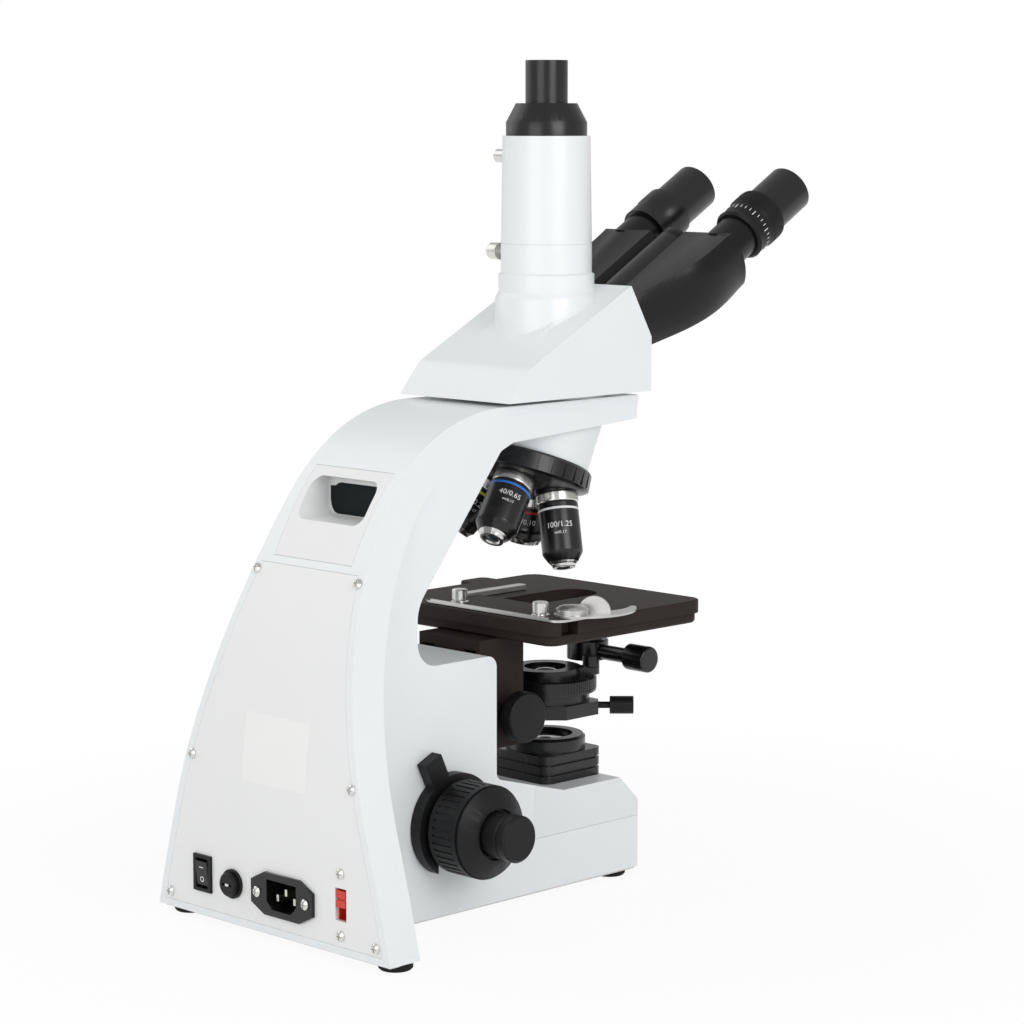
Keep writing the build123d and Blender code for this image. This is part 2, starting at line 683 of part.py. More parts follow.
def selector_slider():
    """The red slider with its two printed ends, at the top of its travel."""
    y = REAR_Y - PANEL_THICK - PLAY - 6 + RUN
    half = SELECT_HALF - 0.6 - PLAY
    top = SELECT_Z + SELECT_SLOT / 2 - 1.2
    body = block(SELECT_X - half, SELECT_X + half, y, REAR_Y + 0.2, top - SELECT_SLIDER, top)
    groove = block(SELECT_X - half - 1, SELECT_X + half + 1, REAR_Y - 0.8, REAR_Y + 1,
                   top - SELECT_SLIDER / 2 - 0.7, top - SELECT_SLIDER / 2 + 0.7)
    return body - groove


def handle_blank(gap):
    """The pocket in the arm that takes the handle insert."""
    half = HANDLE_HALF - gap
    band = band_between(0.0, HANDLE_DEEP, BASE_Z, HANDLE_TOP_Z - gap, half)
    return band & block(-half, half, 0, REAR_Y + 50, HANDLE_LOW_Z + gap, HANDLE_TOP_Z - gap)


def recess():
    """The hand recess: a rounded window that scoops into the insert."""
    floor_y = rear_y(RECESS_LOW_Z) - RECESS_DEEP
    tool = block(-RECESS_HALF, RECESS_HALF, floor_y, REAR_Y, RECESS_LOW_Z, RECESS_TOP_Z)
    tool = fillet(tool.edges().filter_by(Axis.Y), 7.0)
    return fillet(tool.faces().sort_by(Axis.Y)[0].edges(), 6.0)


def handle_insert():
    """The moulded hand recess, flush with the rear face."""
    return handle_blank(PLAY) - recess()


def lamp_cover():
    """The cover over the lamp bay, open below."""
    def profile(inset):
        return [
            (NOSE_TIP_Y - 5 + inset, TRAY_Z),
            (COVER_REAR_Y - PLAY - inset, TRAY_Z),
            (COVER_REAR_Y - PLAY - inset, SLOPE_FOOT_Z - inset),
            (COVER_SLOPE_Y, COVER_TOP_Z - inset),
            (COVER_CHAMFER_Y, COVER_TOP_Z - inset),
            (NOSE_CORNER_Y, COVER_CHAMFER_Z - inset),
            (NOSE_TIP_Y - 5 + inset, COVER_CHAMFER_Z - inset - 9),
        ]
    top = TRAY_Z + 0.05
    outer = prism_x(profile(0.0), WEB_HALF) & plan_outline(0.0, TRAY_Z, SLOPE_FOOT_Z + 1)
    inner = prism_x(profile(COVER_WALL), WEB_HALF) & plan_outline(COVER_WALL, TRAY_Z - 1, SLOPE_FOOT_Z + 1)
    body = outer & block(-60, 60, -80, 80, top, 90)
    body -= inner
    return body - post(FIELD_BORE_R, COVER_TOP_Z - 6, COVER_TOP_Z + 6)


def base_plate():
    """The sheet that closes the underside."""
    front = plan_outline(WALL / 2, BASE_Z - PLATE_THICK, BASE_Z)
    front &= block(-60, 60, -80, REAR_Y - 3, 0, BASE_Z + 1)
    wing = block(-FLANGE_FOOT_HALF + 3, FLANGE_FOOT_HALF - 3, REAR_Y - FLANGE_DEPTH + 2, REAR_Y - 3,
                 BASE_Z - PLATE_THICK, BASE_Z)
    return front + wing


def foot_places():
    """Two feet under the flange's ends and two under the front."""
    return [(side * x, y) for x, y in (REAR_FOOT, FRONT_FOOT) for side in (-1, 1)]


def rubber_feet():
    """Four round feet that taper towards the table."""
    top = BASE_Z - PLATE_THICK
    foot = turned((0, 0), (FOOT_R - 1.2, 0), (FOOT_R, 1.2), (FOOT_R, top), (0, top))
    return together(Pos(x, y, 0) * foot for x, y in foot_places())


def led_module():
    """A finned heat sink on the base plate with the lamp board and collector lens on top."""
    base = post(HEAT_SINK_R, BASE_Z, BASE_Z + 3)
    fins = base
    for i in range(FIN_COUNT):
        fin = Pos(HEAT_SINK_R * 0.62, 0, BASE_Z + 3 + HEAT_SINK_HIGH / 2) * Box(HEAT_SINK_R * 0.7, 1.6, HEAT_SINK_HIGH)
        fins += Rot(0, 0, i * 360 / FIN_COUNT) * fin
    core = post(HEAT_SINK_R * 0.36, BASE_Z + 2, BASE_Z + 3 + HEAT_SINK_HIGH)
    cup = turned((0, BASE_Z + 3 + HEAT_SINK_HIGH), (13, BASE_Z + 3 + HEAT_SINK_HIGH), (13, LED_TOP_Z),
                 (11, LED_TOP_Z), (11, LED_TOP_Z - 4), (0, LED_TOP_Z - 4))
    dome = Pos(0, 0, LED_TOP_Z - 4) * (Sphere(9) & Pos(0, 0, 5) * Box(20, 20, 10))
    return fins + core + cup + dome


def lamp_plates():
    """Three square tiers with grooves between them, bored for the light."""
    body = None
    z = COVER_TOP_Z
    for i in range(LAMP_TIERS):
        tier = extrude(Pos(0, 0, z) * RectangleRounded(2 * LAMP_HALF, 2 * LAMP_HALF, LAMP_ROUND), LAMP_TIER)
        body = tier if body is None else body + tier
        z += LAMP_TIER
        if i < LAMP_TIERS - 1:
            neck = Pos(0, 0, z) * RectangleRounded(2 * LAMP_HALF - 3, 2 * LAMP_HALF - 3, LAMP_ROUND - 1)
            body += extrude(neck, LAMP_GROOVE)
            z += LAMP_GROOVE
    collar = post(FIELD_BORE_R + 3, z, z + FIELD_RING_HIGH - 1.5)
    return body + collar - post(FIELD_BORE_R, COVER_TOP_Z - 1, z + 20)


def lamp_top_z():
    """The height of the top tier's upper face."""
    return COVER_TOP_Z + LAMP_TIERS * LAMP_TIER + (LAMP_TIERS - 1) * LAMP_GROOVE


def field_ring():
    """The field diaphragm's ring, which turns on the top tier's collar."""
    z = lamp_top_z() + RUN
    hole = FIELD_BORE_R + 3 + RUN
    top = z + FIELD_RING_HIGH
    body = turned((hole, z), (FIELD_RING_R, z), (FIELD_RING_R, top - 1.5), (FIELD_RING_R - 1.5, top),
                  (FIELD_BORE_R + 1, top), (FIELD_BORE_R + 1, top - 1.2), (hole, top - 1.2))
    return body


def field_lens():
    """The glass in the collar, slightly domed."""
    z = lamp_top_z() + 1
    return turned((0, z), (FIELD_LENS_R, z), (FIELD_LENS_R, z + 3.5), (FIELD_LENS_R * 0.6, z + 5), (0, z + 5.4))


def dimmer_knob():
    """The lamp dimmer on the user's right."""
    x = WEB_HALF + GAP
    knob = bar_x(DIMMER_R, x, x + DIMMER_LONG, DIMMER_Y, DIMMER_Z)
    knob = fillet(knob.edges().group_by(Axis.X)[-1], 1.2)
    return knob + bar_x(3.0, 22, x + 1, DIMMER_Y, DIMMER_Z)


def gear_tooth():
    """One involute tooth about the origin, thinned for backlash, pointing along +X."""
    pitch = MODULE * TEETH / 2
    base = pitch * math.cos(math.radians(PRESSURE))
    tip = pitch + MODULE * 0.95
    inv = math.tan(math.radians(PRESSURE)) - math.radians(PRESSURE)
    half = math.pi / (2 * TEETH) - 0.06 / pitch

    def flank(radius):
        angle = math.acos(min(1.0, base / radius))
        turn = half + inv - (math.tan(angle) - angle)
        return (radius * math.cos(turn), radius * math.sin(turn))

    steps = [base + (tip - base) * i / 3 for i in range(4)]
    upper = [flank(r) for r in steps]
    root = pitch - 1.25 * MODULE
    start = (root * math.cos(half + inv), root * math.sin(half + inv))
    points = [start] + upper + [(x, -y) for x, y in reversed(upper)] + [(start[0], -start[1])]
    return points


def pinion(width):
    """A pinion about Z, from z = 0 up to its width, with a tooth space on +X's far side."""
    root = MODULE * TEETH / 2 - 1.25 * MODULE
    gear = Cylinder(root + 0.02, width)
    tooth = extrude(make_face(Polyline(*gear_tooth(), close=True)), width / 2, both=True)
    for i in range(TEETH):
        gear += Rot(0, 0, i * 360 / TEETH) * tooth
    return gear


def rack(length_low, length_high, width, z_phase):
    """A rack with its pitch line at x = 0, its teeth towards +X, along Z."""
    pitch = math.pi * MODULE
    slope = math.tan(math.radians(PRESSURE))
    half = pitch / 4 - 0.06
    tip = MODULE * 0.95
    root = MODULE * 1.25
    body = block(-RACK_BACK, -root, -width / 2, width / 2, length_low, length_high)
    first = math.ceil((length_low + half + root * slope - z_phase) / pitch)
    last = math.floor((length_high - half - root * slope - z_phase) / pitch)
    for i in range(first, last + 1):
        z = z_phase + i * pitch
        tooth = [(-root - 0.02, z - half - root * slope), (tip, z - half + tip * slope),
                 (tip, z + half - tip * slope), (-root - 0.02, z + half + root * slope)]
        body += extrude(make_face(Polyline(*[(x, 0, c) for x, c in tooth], close=True)), width / 2,
                        dir=(0, 1, 0), both=True)
    return body


def focus_rack():
    """The rack that the coarse pinion lifts, on the slide's arm."""
    bar = rack(FOCUS_Z - STAGE_UP - 9, FOCUS_Z + STAGE_DOWN + 9, RACK_WIDE, FOCUS_Z + math.pi * MODULE / 2)
    return Pos(0, FOCUS_Y - MODULE * TEETH / 2, 0) * Rot(0, 0, 90) * bar


def stage_slide():
    """The block that runs on the column, with its arm into the column and its rack."""
    body = block(-SLIDE_HALF, SLIDE_HALF, SLIDE_FRONT_Y, COLUMN_FRONT_Y - GAP, SLIDE_LOW_Z, lower_plate_z())
    for side in (-1, 1):
        inner, outer = sorted((side * (RAIL_IN_X - PLAY), side * (RAIL_OUT_X + PLAY)))
        body -= block(inner, outer, RAIL_FRONT_Y - PLAY, COLUMN_FRONT_Y, SLIDE_LOW_Z - 1, lower_plate_z() - 6)
    body -= block(-5.6, 5.6, SLIDE_FRONT_Y - 1, DRIVE_Y + 7.2, SLIDE_LOW_Z - 1, lower_plate_z() - 6)
    body -= bar_x(2.5 + RUN, -SLIDE_HALF - 1, 10, DRIVE_Y, DRIVE_Z)
    rack_y = FOCUS_Y - MODULE * TEETH / 2 - RACK_BACK
    arm = block(-RACK_WIDE / 2, RACK_WIDE / 2, COLUMN_FRONT_Y - GAP, rack_y, RAIL_LOW_Z + STAGE_DOWN + 1,
                LEDGE_Z - STAGE_UP - 3)
    tail = block(-RACK_WIDE / 2, RACK_WIDE / 2, 100, rack_y, FOCUS_Z - STAGE_UP - 9, LEDGE_Z - STAGE_UP - 3)
    return body + arm + tail + focus_rack()


def column_rail():
    """Two hard rails on the column's front face."""
    rails = []
    for side in (-1, 1):
        inner, outer = sorted((side * RAIL_IN_X, side * RAIL_OUT_X))
        rails.append(block(inner, outer, RAIL_FRONT_Y, COLUMN_FRONT_Y, RAIL_LOW_Z, RAIL_TOP_Z))
    return together(rails)


def focus_shaft():
    """The hollow coarse shaft with the pinion cut on its middle."""
    reach = CONE_OUT_X - 3
    tube = bar_x(COARSE_SHAFT_R, -reach, reach, FOCUS_Y, FOCUS_Z)
    tube -= bar_x(COARSE_SHAFT_R + 1, -RACK_WIDE / 2 - 1, RACK_WIDE / 2 + 1, FOCUS_Y, FOCUS_Z)
    gear = Pos(0, FOCUS_Y, FOCUS_Z) * Rot(0, 90, 0) * Rot(0, 0, -90) * pinion(RACK_WIDE + 2)
    return tube + gear - bar_x(FINE_SHAFT_R + RUN, -90, 90, FOCUS_Y, FOCUS_Z)


def coarse_profile():
    """The coarse knob from its inner rim to the cone round the fine knob, as (radius, distance)."""
    return [
        (COARSE_SHAFT_R, COARSE_IN_X), (COARSE_R - 1.2, COARSE_IN_X), (COARSE_R, COARSE_IN_X + 1.2),
        (COARSE_R, COARSE_OUT_X - 1.4), (COARSE_R - 0.9, COARSE_OUT_X - 1.4), (COARSE_R - 0.9, COARSE_OUT_X),
        (CONE_TIP_R + 1.5, CONE_OUT_X), (CONE_TIP_R, CONE_OUT_X), (CONE_TIP_R, CONE_OUT_X - 3), (COARSE_SHAFT_R, CONE_OUT_X - 3),
    ]


def coarse_knob(side):
    """A coarse knob with its ring of shallow finger slots."""
    knob = turned(*coarse_profile())
    cutter = Pos(COARSE_R + 0.35, 0, (COARSE_IN_X + COARSE_OUT_X) / 2) * Box(1.7, 1.5, COARSE_OUT_X - COARSE_IN_X - 9)
    for i in range(COARSE_SLOTS):
        knob -= Rot(0, 0, i * 360 / COARSE_SLOTS) * cutter
    return Pos(0, FOCUS_Y, FOCUS_Z) * Rot(0, 90 * side, 0) * knob


def fine_knob(side):
    """A fine knob: stub, waist and rounded rim."""
    start = CONE_OUT_X - 3 + GAP
    knob = turned((FINE_SHAFT_R, start), (FINE_R - 0.3, start), (FINE_R - 0.3, FINE_OUT_X - 8), (FINE_R - 1.4, FINE_OUT_X - 7.2),
                  (FINE_R - 1.4, FINE_OUT_X - 6.2), (FINE_R, FINE_OUT_X - 5.4), (FINE_R, FINE_OUT_X - 1.4),
                  (FINE_R - 1.4, FINE_OUT_X), (0, FINE_OUT_X), (0, FINE_OUT_X - 4), (FINE_SHAFT_R, FINE_OUT_X - 4))
    return Pos(0, FOCUS_Y, FOCUS_Z) * Rot(0, 90 * side, 0) * knob


def fine_knob_left():
    """The left fine knob with the long shaft through the coarse one."""
    reach = FINE_OUT_X - 4
    return fine_knob(-1) + bar_x(FINE_SHAFT_R, -reach, reach, FOCUS_Y, FOCUS_Z)


def limit_lever():
    """The coarse limit: a split ring with an arm up and back."""
    x = -WEB_HALF - GAP - LEVER_THICK
    ring = Cylinder(LEVER_R, LEVER_THICK)
    notch = Pos(-LEVER_R * 0.7, -LEVER_R, 0) * Box(LEVER_R * 2.4, LEVER_R * 0.9, LEVER_THICK + 2)
    ring = (ring - notch) + Cylinder(COARSE_R - 2.5, LEVER_THICK)
    arm = Rot(0, 0, LEVER_ARM_ANGLE) * Pos(LEVER_ARM_R / 2, 0, 0) * Box(LEVER_ARM_R, LEVER_ARM_WIDE, LEVER_THICK)
    lever = ring + arm - Cylinder(COARSE_SHAFT_R + RUN, LEVER_THICK + 2)
    plane = Plane(origin=(x + LEVER_THICK / 2, FOCUS_Y, FOCUS_Z), x_dir=(0, 1, 0), z_dir=(1, 0, 0))
    return plane.location * lever


def tension_ring():
    """The tension ring on the right, with coarse ribs."""
    x = WEB_HALF + GAP
    ring = Cylinder(LEVER_R - 1, LEVER_THICK)
    cut = Pos(LEVER_R - 1, 0, 0) * Cylinder(1.6, LEVER_THICK + 2)
    for i in range(24):
        ring -= Rot(0, 0, i * 15) * cut
    ring -= Cylinder(COARSE_SHAFT_R + RUN, LEVER_THICK + 2)
    return Pos(x + LEVER_THICK / 2, FOCUS_Y, FOCUS_Z) * Rot(0, 90, 0) * ring


def lower_plate_z():
    """The underside of the stage's lower plate."""
    return STAGE_TOP_Z - UPPER_THICK - GAP - LOWER_THICK


def stage_lower_plate():
    """The fixed lower plate with its light opening."""
    z0 = lower_plate_z()
    half = STAGE_HALF - LOWER_IN
    long = STAGE_REAR_Y - STAGE_FRONT_Y - 2 * LOWER_IN
    middle = (STAGE_REAR_Y + STAGE_FRONT_Y) / 2
    body = extrude(Pos(0, middle, z0) * RectangleRounded(2 * half, long, STAGE_CORNER - LOWER_IN), LOWER_THICK)
    body = chamfer(body.faces().sort_by(Axis.Z)[0].edges(), 1.2)
    hole = extrude(Pos(0, -6, 0) * RectangleRounded(2 * SLOT_HALF + 8, 96, SLOT_HALF), 400)
    return body - hole


def stage_upper_plate():
    """The upper plate with its slot and notch, and the bracket for the two knobs."""
    z0 = STAGE_TOP_Z - UPPER_THICK
    middle = (STAGE_REAR_Y + STAGE_FRONT_Y) / 2
    long = STAGE_REAR_Y - STAGE_FRONT_Y
    body = extrude(Pos(0, middle, z0) * RectangleRounded(2 * STAGE_HALF, long, STAGE_CORNER), UPPER_THICK)
    body += knob_hanger()
    body = chamfer(body.faces().sort_by(Axis.Z)[-1].edges(), 0.6)
    slot_middle = (SLOT_REAR_Y + SLOT_FRONT_Y) / 2
    slot = RectangleRounded(2 * SLOT_HALF, SLOT_REAR_Y - SLOT_FRONT_Y, SLOT_HALF - 0.5)
    body -= extrude(Pos(0, slot_middle, 0) * slot, 400)
    body -= block(-STAGE_HALF - 1, -STAGE_HALF + NOTCH_DEEP, NOTCH_FRONT_Y, NOTCH_REAR_Y, z0 - 1, STAGE_TOP_Z + 1)
    return body


def holder_plate_z():
    """The underside of the slide holder."""
    return STAGE_TOP_Z + GAP


def slide_holder():
    """The holder's plate with the fixed finger on the user's right."""
    z0 = holder_plate_z()
    x = HOLDER_REST_X
    right = x + SLIDE_LONG / 2
    left = NUT_X - 7
    plate = block(left, right + FINGER_WIDE + 5, HOLDER_FRONT_Y, HOLDER_REAR_Y, z0, z0 + HOLDER_THICK)
    plate = fillet(plate.edges().filter_by(Axis.Z), 7.0)
    finger = block(right, right + FINGER_WIDE, FINGER_FRONT_Y, HOLDER_FRONT_Y + 10, z0, z0 + HOLDER_THICK + 1.4)
    finger = fillet(finger.edges().filter_by(Axis.Z).sort_by(Axis.Y)[0:2], 2.5)
    rear_strip = block(left + 8, right + FINGER_WIDE - 3, HOLDER_REAR_Y - 1.2, HOLDER_REAR_Y, z0, z0 + HOLDER_THICK + 0.9)
    return plate + finger + rear_strip


def holder_screws():
    """The two knurled thumbscrews that clamp the holder, with their washers."""
    z = holder_plate_z() + HOLDER_THICK
    grooves = Pos(THUMB_R + 0.25, 0, THUMB_HIGH / 2 + 1) * Box(0.9, 0.9, THUMB_HIGH - 2)
    thumb = turned((0, 0), (THUMB_R + 0.6, 0), (THUMB_R + 0.6, 0.8), (THUMB_R - 1, 0.8), (THUMB_R - 1, 2), (THUMB_R, 2),
                   (THUMB_R, THUMB_HIGH - 0.6), (THUMB_R - 0.6, THUMB_HIGH), (0, THUMB_HIGH))
    for i in range(12):
        thumb -= Rot(0, 0, i * 30) * grooves
    middle = HOLDER_REST_X - 8.5
    return together(Pos(middle + side * THUMB_SPACING / 2, THUMB_Y, z) * thumb for side in (-1, 1))


def spring_finger():
    """The sprung finger: crescent arm, domed nut and thumb tab."""
    px = NUT_X
    py = NUT_Y
    z0 = holder_plate_z() + HOLDER_THICK + RUN
    top = z0 + 1.2
    crescent = make_face(Wire([
        ThreePointArc((px - 4, py + 10, z0), (px - 19, py - 10, z0), (px - 6, py - 46, z0)),
        Line((px - 6, py - 46, z0), (px - 4, py - 44, z0)),
        ThreePointArc((px - 4, py - 44, z0), (px - 7, py - 22, z0), (px + 9, py - 7, z0)),
        Line((px + 9, py - 7, z0), (px - 4, py + 10, z0)),
    ]))
    arm = extrude(crescent, top - z0, dir=(0, 0, 1)) + post(10.5, z0, top, px, py)
    nut = turned((0, top), (NUT_R, top), (NUT_R, top + 3.0), (NUT_R * 0.78, top + 4.4), (NUT_R * 0.4, top + 5.0), (0, top + 5.2))
    tab = Pos(px - 6, py - 12, top) * Rot(0, 0, 30) * Rot(90, 0, 0) * Cylinder(9.5, 1.4)
    tab &= block(px - 30, px + 20, py - 30, py + 10, top - 0.2, top + 20)
    return arm + Pos(px, py, 0) * nut + tab


def knob_hanger():
    """The bracket on the upper plate's right edge and the post for the two knobs."""
    z0 = STAGE_TOP_Z - UPPER_THICK
    shelf = extrude(Pos(HANGER_X - 4, HANGER_Y, z0) * RectangleRounded(20, 22, 5), UPPER_THICK)
    column = post(HANGER_R, KNOB_TOP_Z + RUN, z0 + 1, HANGER_X, HANGER_Y)
    return shelf + column - post(KNOB_SHAFT_R + RUN, KNOB_TOP_Z - 1, z0 - 5, HANGER_X, HANGER_Y)


def x_knob():
    """The lower, smaller stage knob on its long shaft."""
    z1 = KNOB_TOP_Z - KNOB_LONG - RUN
    knob = post(X_KNOB_R, z1 - KNOB_LONG, z1, HANGER_X, HANGER_Y)
    knob = fillet(knob.edges().group_by(Axis.Z)[0], 1.0)
    return knob + post(KNOB_SHAFT_R, z1 - 1, STAGE_TOP_Z - UPPER_THICK - 6, HANGER_X, HANGER_Y)


def y_knob():
    """The upper, larger stage knob round the other's shaft."""
    z1 = KNOB_TOP_Z
    knob = post(Y_KNOB_R, z1 - KNOB_LONG, z1, HANGER_X, HANGER_Y)
    knob = fillet(knob.edges().group_by(Axis.Z)[0], 1.0)
    return knob - post(KNOB_SHAFT_R + RUN, z1 - KNOB_LONG - 1, z1 + 1, HANGER_X, HANGER_Y)


def carrier_outline(z):
    """The condenser carrier's plan: a square with its rear corners cut back to the neck."""
    c = CARRIER_HALF
    n = CARRIER_NECK_HALF
    points = [(-c + 5, CARRIER_FRONT_Y), (-c, CARRIER_FRONT_Y + 5), (-c, CARRIER_SIDE_Y), (-n, CARRIER_REAR_Y),
              (-n, SLIDE_FRONT_Y - GAP), (n, SLIDE_FRONT_Y - GAP), (n, CARRIER_REAR_Y), (c, CARRIER_SIDE_Y),
              (c, CARRIER_FRONT_Y + 5), (c - 5, CARRIER_FRONT_Y)]
    return make_face(Polyline(*[(x, y, z) for x, y in points], close=True))


def condenser_carrier():
    """The fork that holds the condenser, with its own small rack."""
    z0 = CARRIER_LOW_Z
    plate = extrude(carrier_outline(z0), CARRIER_HIGH, dir=(0, 0, 1))
    upright = block(-CARRIER_NECK_HALF, CARRIER_NECK_HALF, SLIDE_FRONT_Y - GAP - 9, SLIDE_FRONT_Y - GAP,
                    z0, CARRIER_BLOCK_TOP_Z)
    rack_y = DRIVE_Y - MODULE * TEETH / 2
    tongue = block(-RACK_WIDE / 2, RACK_WIDE / 2, SLIDE_FRONT_Y - GAP - 1, rack_y - MODULE * 1.25, z0, CARRIER_BLOCK_TOP_Z)
    teeth = Pos(0, rack_y, 0) * Rot(0, 0, 90) * rack(DRIVE_Z - CONDENSER_UP - 8, DRIVE_Z + CONDENSER_DOWN + 8,
                                                      RACK_WIDE, DRIVE_Z + math.pi * MODULE / 2)
    body = plate + upright + tongue + teeth
    body -= post(CONDENSER_SLEEVE_R + RUN, z0 - 1, z0 + CARRIER_HIGH + 1)
    for side in (-1, 1):
        body -= centring_shaft(side, 10, 45, 2.0 + PLAY)
    return body


def centring_shaft(side, start, end, radius):
    """A cylinder along one centring screw's line."""
    shaft = Pos(0, 0, (start + end) / 2) * Cylinder(radius, end - start)
    direction = (side, -1, 0)
    plane = Plane(origin=(0, 0, CARRIER_LOW_Z + CARRIER_HIGH / 2), z_dir=direction)
    return plane.location * shaft


def centring_screws():
    """Two centring screws with black knobs."""
    screws = []
    for side in (-1, 1):
        shaft = centring_shaft(side, CONDENSER_SLEEVE_R + 0.2, CENTRING_REACH + 1, 2.0)
        knob = centring_shaft(side, CENTRING_REACH, CENTRING_REACH + CENTRING_KNOB_LONG, CENTRING_KNOB_R)
        screws.append(shaft + knob)
    return together(screws)


def condenser_knob():
    """The condenser's lift knob on the left, with its pinion."""
    y = DRIVE_Y
    z = DRIVE_Z
    disc = bar_x(DRIVE_KNOB_R, -DRIVE_OUT_X, -DRIVE_IN_X, y, z)
    disc = fillet(disc.edges().group_by(Axis.X)[0], 1.2)
    hub = bar_x(6.0, -DRIVE_IN_X, -SLIDE_HALF - GAP, y, z)
    shaft = bar_x(2.5, -SLIDE_HALF - GAP - 1, -5.0, y, z)
    gear = Pos(0, y, z) * Rot(0, 90, 0) * Rot(0, 0, -90) * pinion(RACK_WIDE)
    return disc + hub + shaft + gear


def condenser_body():
    """The condenser's barrel with its lens and its iris seat."""
    r = CONDENSER_R
    low = CARRIER_LOW_Z - 1.5
    seat = CARRIER_LOW_Z + CARRIER_HIGH
    body = turned((10, low), (CONDENSER_SLEEVE_R, low), (CONDENSER_SLEEVE_R, seat), (r + 5, seat), (r + 5, IRIS_LOW_Z - RUN),
                  (r, IRIS_LOW_Z - RUN), (r, CONDENSER_TOP_Z), (13, CONDENSER_TOP_Z), (13, CONDENSER_TOP_Z - 2), (10, CONDENSER_TOP_Z - 6))
    px, py = SWING_PIVOT
    low_lug = IRIS_LOW_Z + IRIS_HIGH + 0.5
    lug = post(5.0, low_lug, CONDENSER_TOP_Z, px, py)
    lug += Pos(px * 0.7, py * 0.7, (low_lug + CONDENSER_TOP_Z) / 2) * Rot(0, 0, math.degrees(math.atan2(py, px))) * Box(
        14, 10, CONDENSER_TOP_Z - low_lug)
    return body + lug - post(2.0 + RUN, CONDENSER_TOP_Z - 5, CONDENSER_TOP_Z + 1, px, py)


def condenser_lens():
    """The fixed lens in the condenser's barrel."""
    z = CONDENSER_TOP_Z - 2
    return turned((0, z - 9), (9.9, z - 9), (9.9, z - 4), (8.6, z - 1), (5, z + 0.6), (0, z + 1.2))


def iris_ring():
    """The aperture iris ring with its knurled rim and lever."""
    z0 = IRIS_LOW_Z
    z1 = z0 + IRIS_HIGH
    ring = turned((CONDENSER_R + RUN, z0), (IRIS_R, z0), (IRIS_R, z1 - 1), (IRIS_R - 1, z1), (CONDENSER_R + RUN, z1))
    return ring


def swing_place(x, y, turn):
    """A point turned about the swing pivot."""
    px, py = SWING_PIVOT
    c = math.cos(math.radians(turn))
    s = math.sin(math.radians(turn))
    return (px + (x - px) * c - (y - py) * s, py + (x - px) * s + (y - py) * c)


def top_lens_cell():
    """The swing-out top lens on its arm, swung out to the front, with its handle."""
    cx, cy = swing_place(0, 0, -SWING_OUT)
    px, py = SWING_PIVOT
    z0 = LENS_CELL_LOW_Z
    z1 = z0 + LENS_CELL_HIGH
    cell = turned((0, z0), (LENS_CELL_R, z0), (LENS_CELL_R, z1 - 1), (LENS_CELL_R - 1, z1), (LENS_NOSE_R, z1),
                  (LENS_NOSE_R - 2, z1 + LENS_NOSE_HIGH), (0, z1 + LENS_NOSE_HIGH))
    body = Pos(cx, cy, 0) * cell
    arm = Pos((cx + px) / 2, (cy + py) / 2, z0 + 2) * Rot(0, 0, math.degrees(math.atan2(py - cy, px - cx))) * Box(
        math.hypot(px - cx, py - cy), 8, 4)
    boss = post(5.0, z0, z0 + 6, px, py)
    pin = post(2.0, CONDENSER_TOP_Z - 4, z0 + 1, px, py)
    z2 = z0 + 5
    neck = bar_x(4.5, cx - HANDLE_NECK, cx - LENS_CELL_R + 1, cy, z2)
    knob = bar_x(HANDLE_KNOB_R, cx - HANDLE_NECK - HANDLE_KNOB, cx - HANDLE_NECK, cy, z2)
    knob = fillet(knob.edges().group_by(Axis.X)[0], 1.6)
    return body + arm + boss + pin + neck + knob


def turret_plane(s=0.0):
    """The nosepiece's frame: z along its axis, away from the arm, and y towards the click place."""
    lean = math.radians(LEAN)
    axis = (0, math.sin(lean), -math.cos(lean))
    start = (0, SEAT_RADIUS * math.cos(lean) + axis[1] * s, SEAT_Z + axis[2] * s)
    return Plane(origin=start, x_dir=(1, 0, 0), z_dir=axis)


def turret():
    """The revolving nosepiece: slotted grip ring and the cone with four seats."""
    top = -GRIP_TOP
    low = top + GRIP_HIGH
    body = turned((6 + RUN, top), (TURRET_R - 1.5, top), (TURRET_R, top + 1.5), (TURRET_R + 0.6, low - 1.2), (TURRET_R - 1, low),
                  (TURRET_R - 3.5, low + 0.6), (SEAT_RADIUS, 0), (6 + RUN, 2))
    cutter = Pos(TURRET_R + 0.9, 0, (top + low) / 2) * Box(2.2, 2.6, GRIP_HIGH - 3.4)
    for i in range(GRIP_SLOTS):
        body -= Rot(0, 0, i * 360 / GRIP_SLOTS) * cutter
    for i in range(len(OBJECTIVES)):
        seat = objective_location(i)
        body += seat * Pos(0, 0, -4) * Cylinder(13.0, 8)
    for i in range(len(OBJECTIVES)):
        seat = objective_location(i)
        body -= seat * Pos(0, 0, 8) * Cylinder(13.5, 16)
        body -= seat * Pos(0, 0, -5) * Cylinder(THREAD_R + 0.1, 11)
    keep = Pos(0, 0, -20) * Cylinder(TURRET_R + 5, 60)
    return turret_plane().location * (body & keep)


def objective_location(index):
    """Where an objective seats in the turret's frame, with +Z along the objective."""
    angle = REST_TURN + index * 90
    outward = Rot(0, 0, angle) * Pos(0, SEAT_RADIUS, 0)
    return outward * Rot(-LEAN, 0, 0)


def objective(index):
    """An objective: knurled shoulder, barrel, taper and nose."""
    name, length, radius, nose = OBJECTIVES[index]
    barrel = turned((0, 0), (12.4, 0), (12.4, 5.6), (radius, 6.4), (radius, length - 9), (radius - 0.6, length - 7.5), (nose + 1.6, length - 2.6),
                    (nose + 0.6, length - 2.4), (nose, length), (nose - 2, length), (nose - 3, length - 1), (0, length - 1))
    thread = Pos(0, 0, -2.25) * Cylinder(THREAD_R, 4.5)
    return turret_plane().location * (objective_location(index) * (barrel + thread))


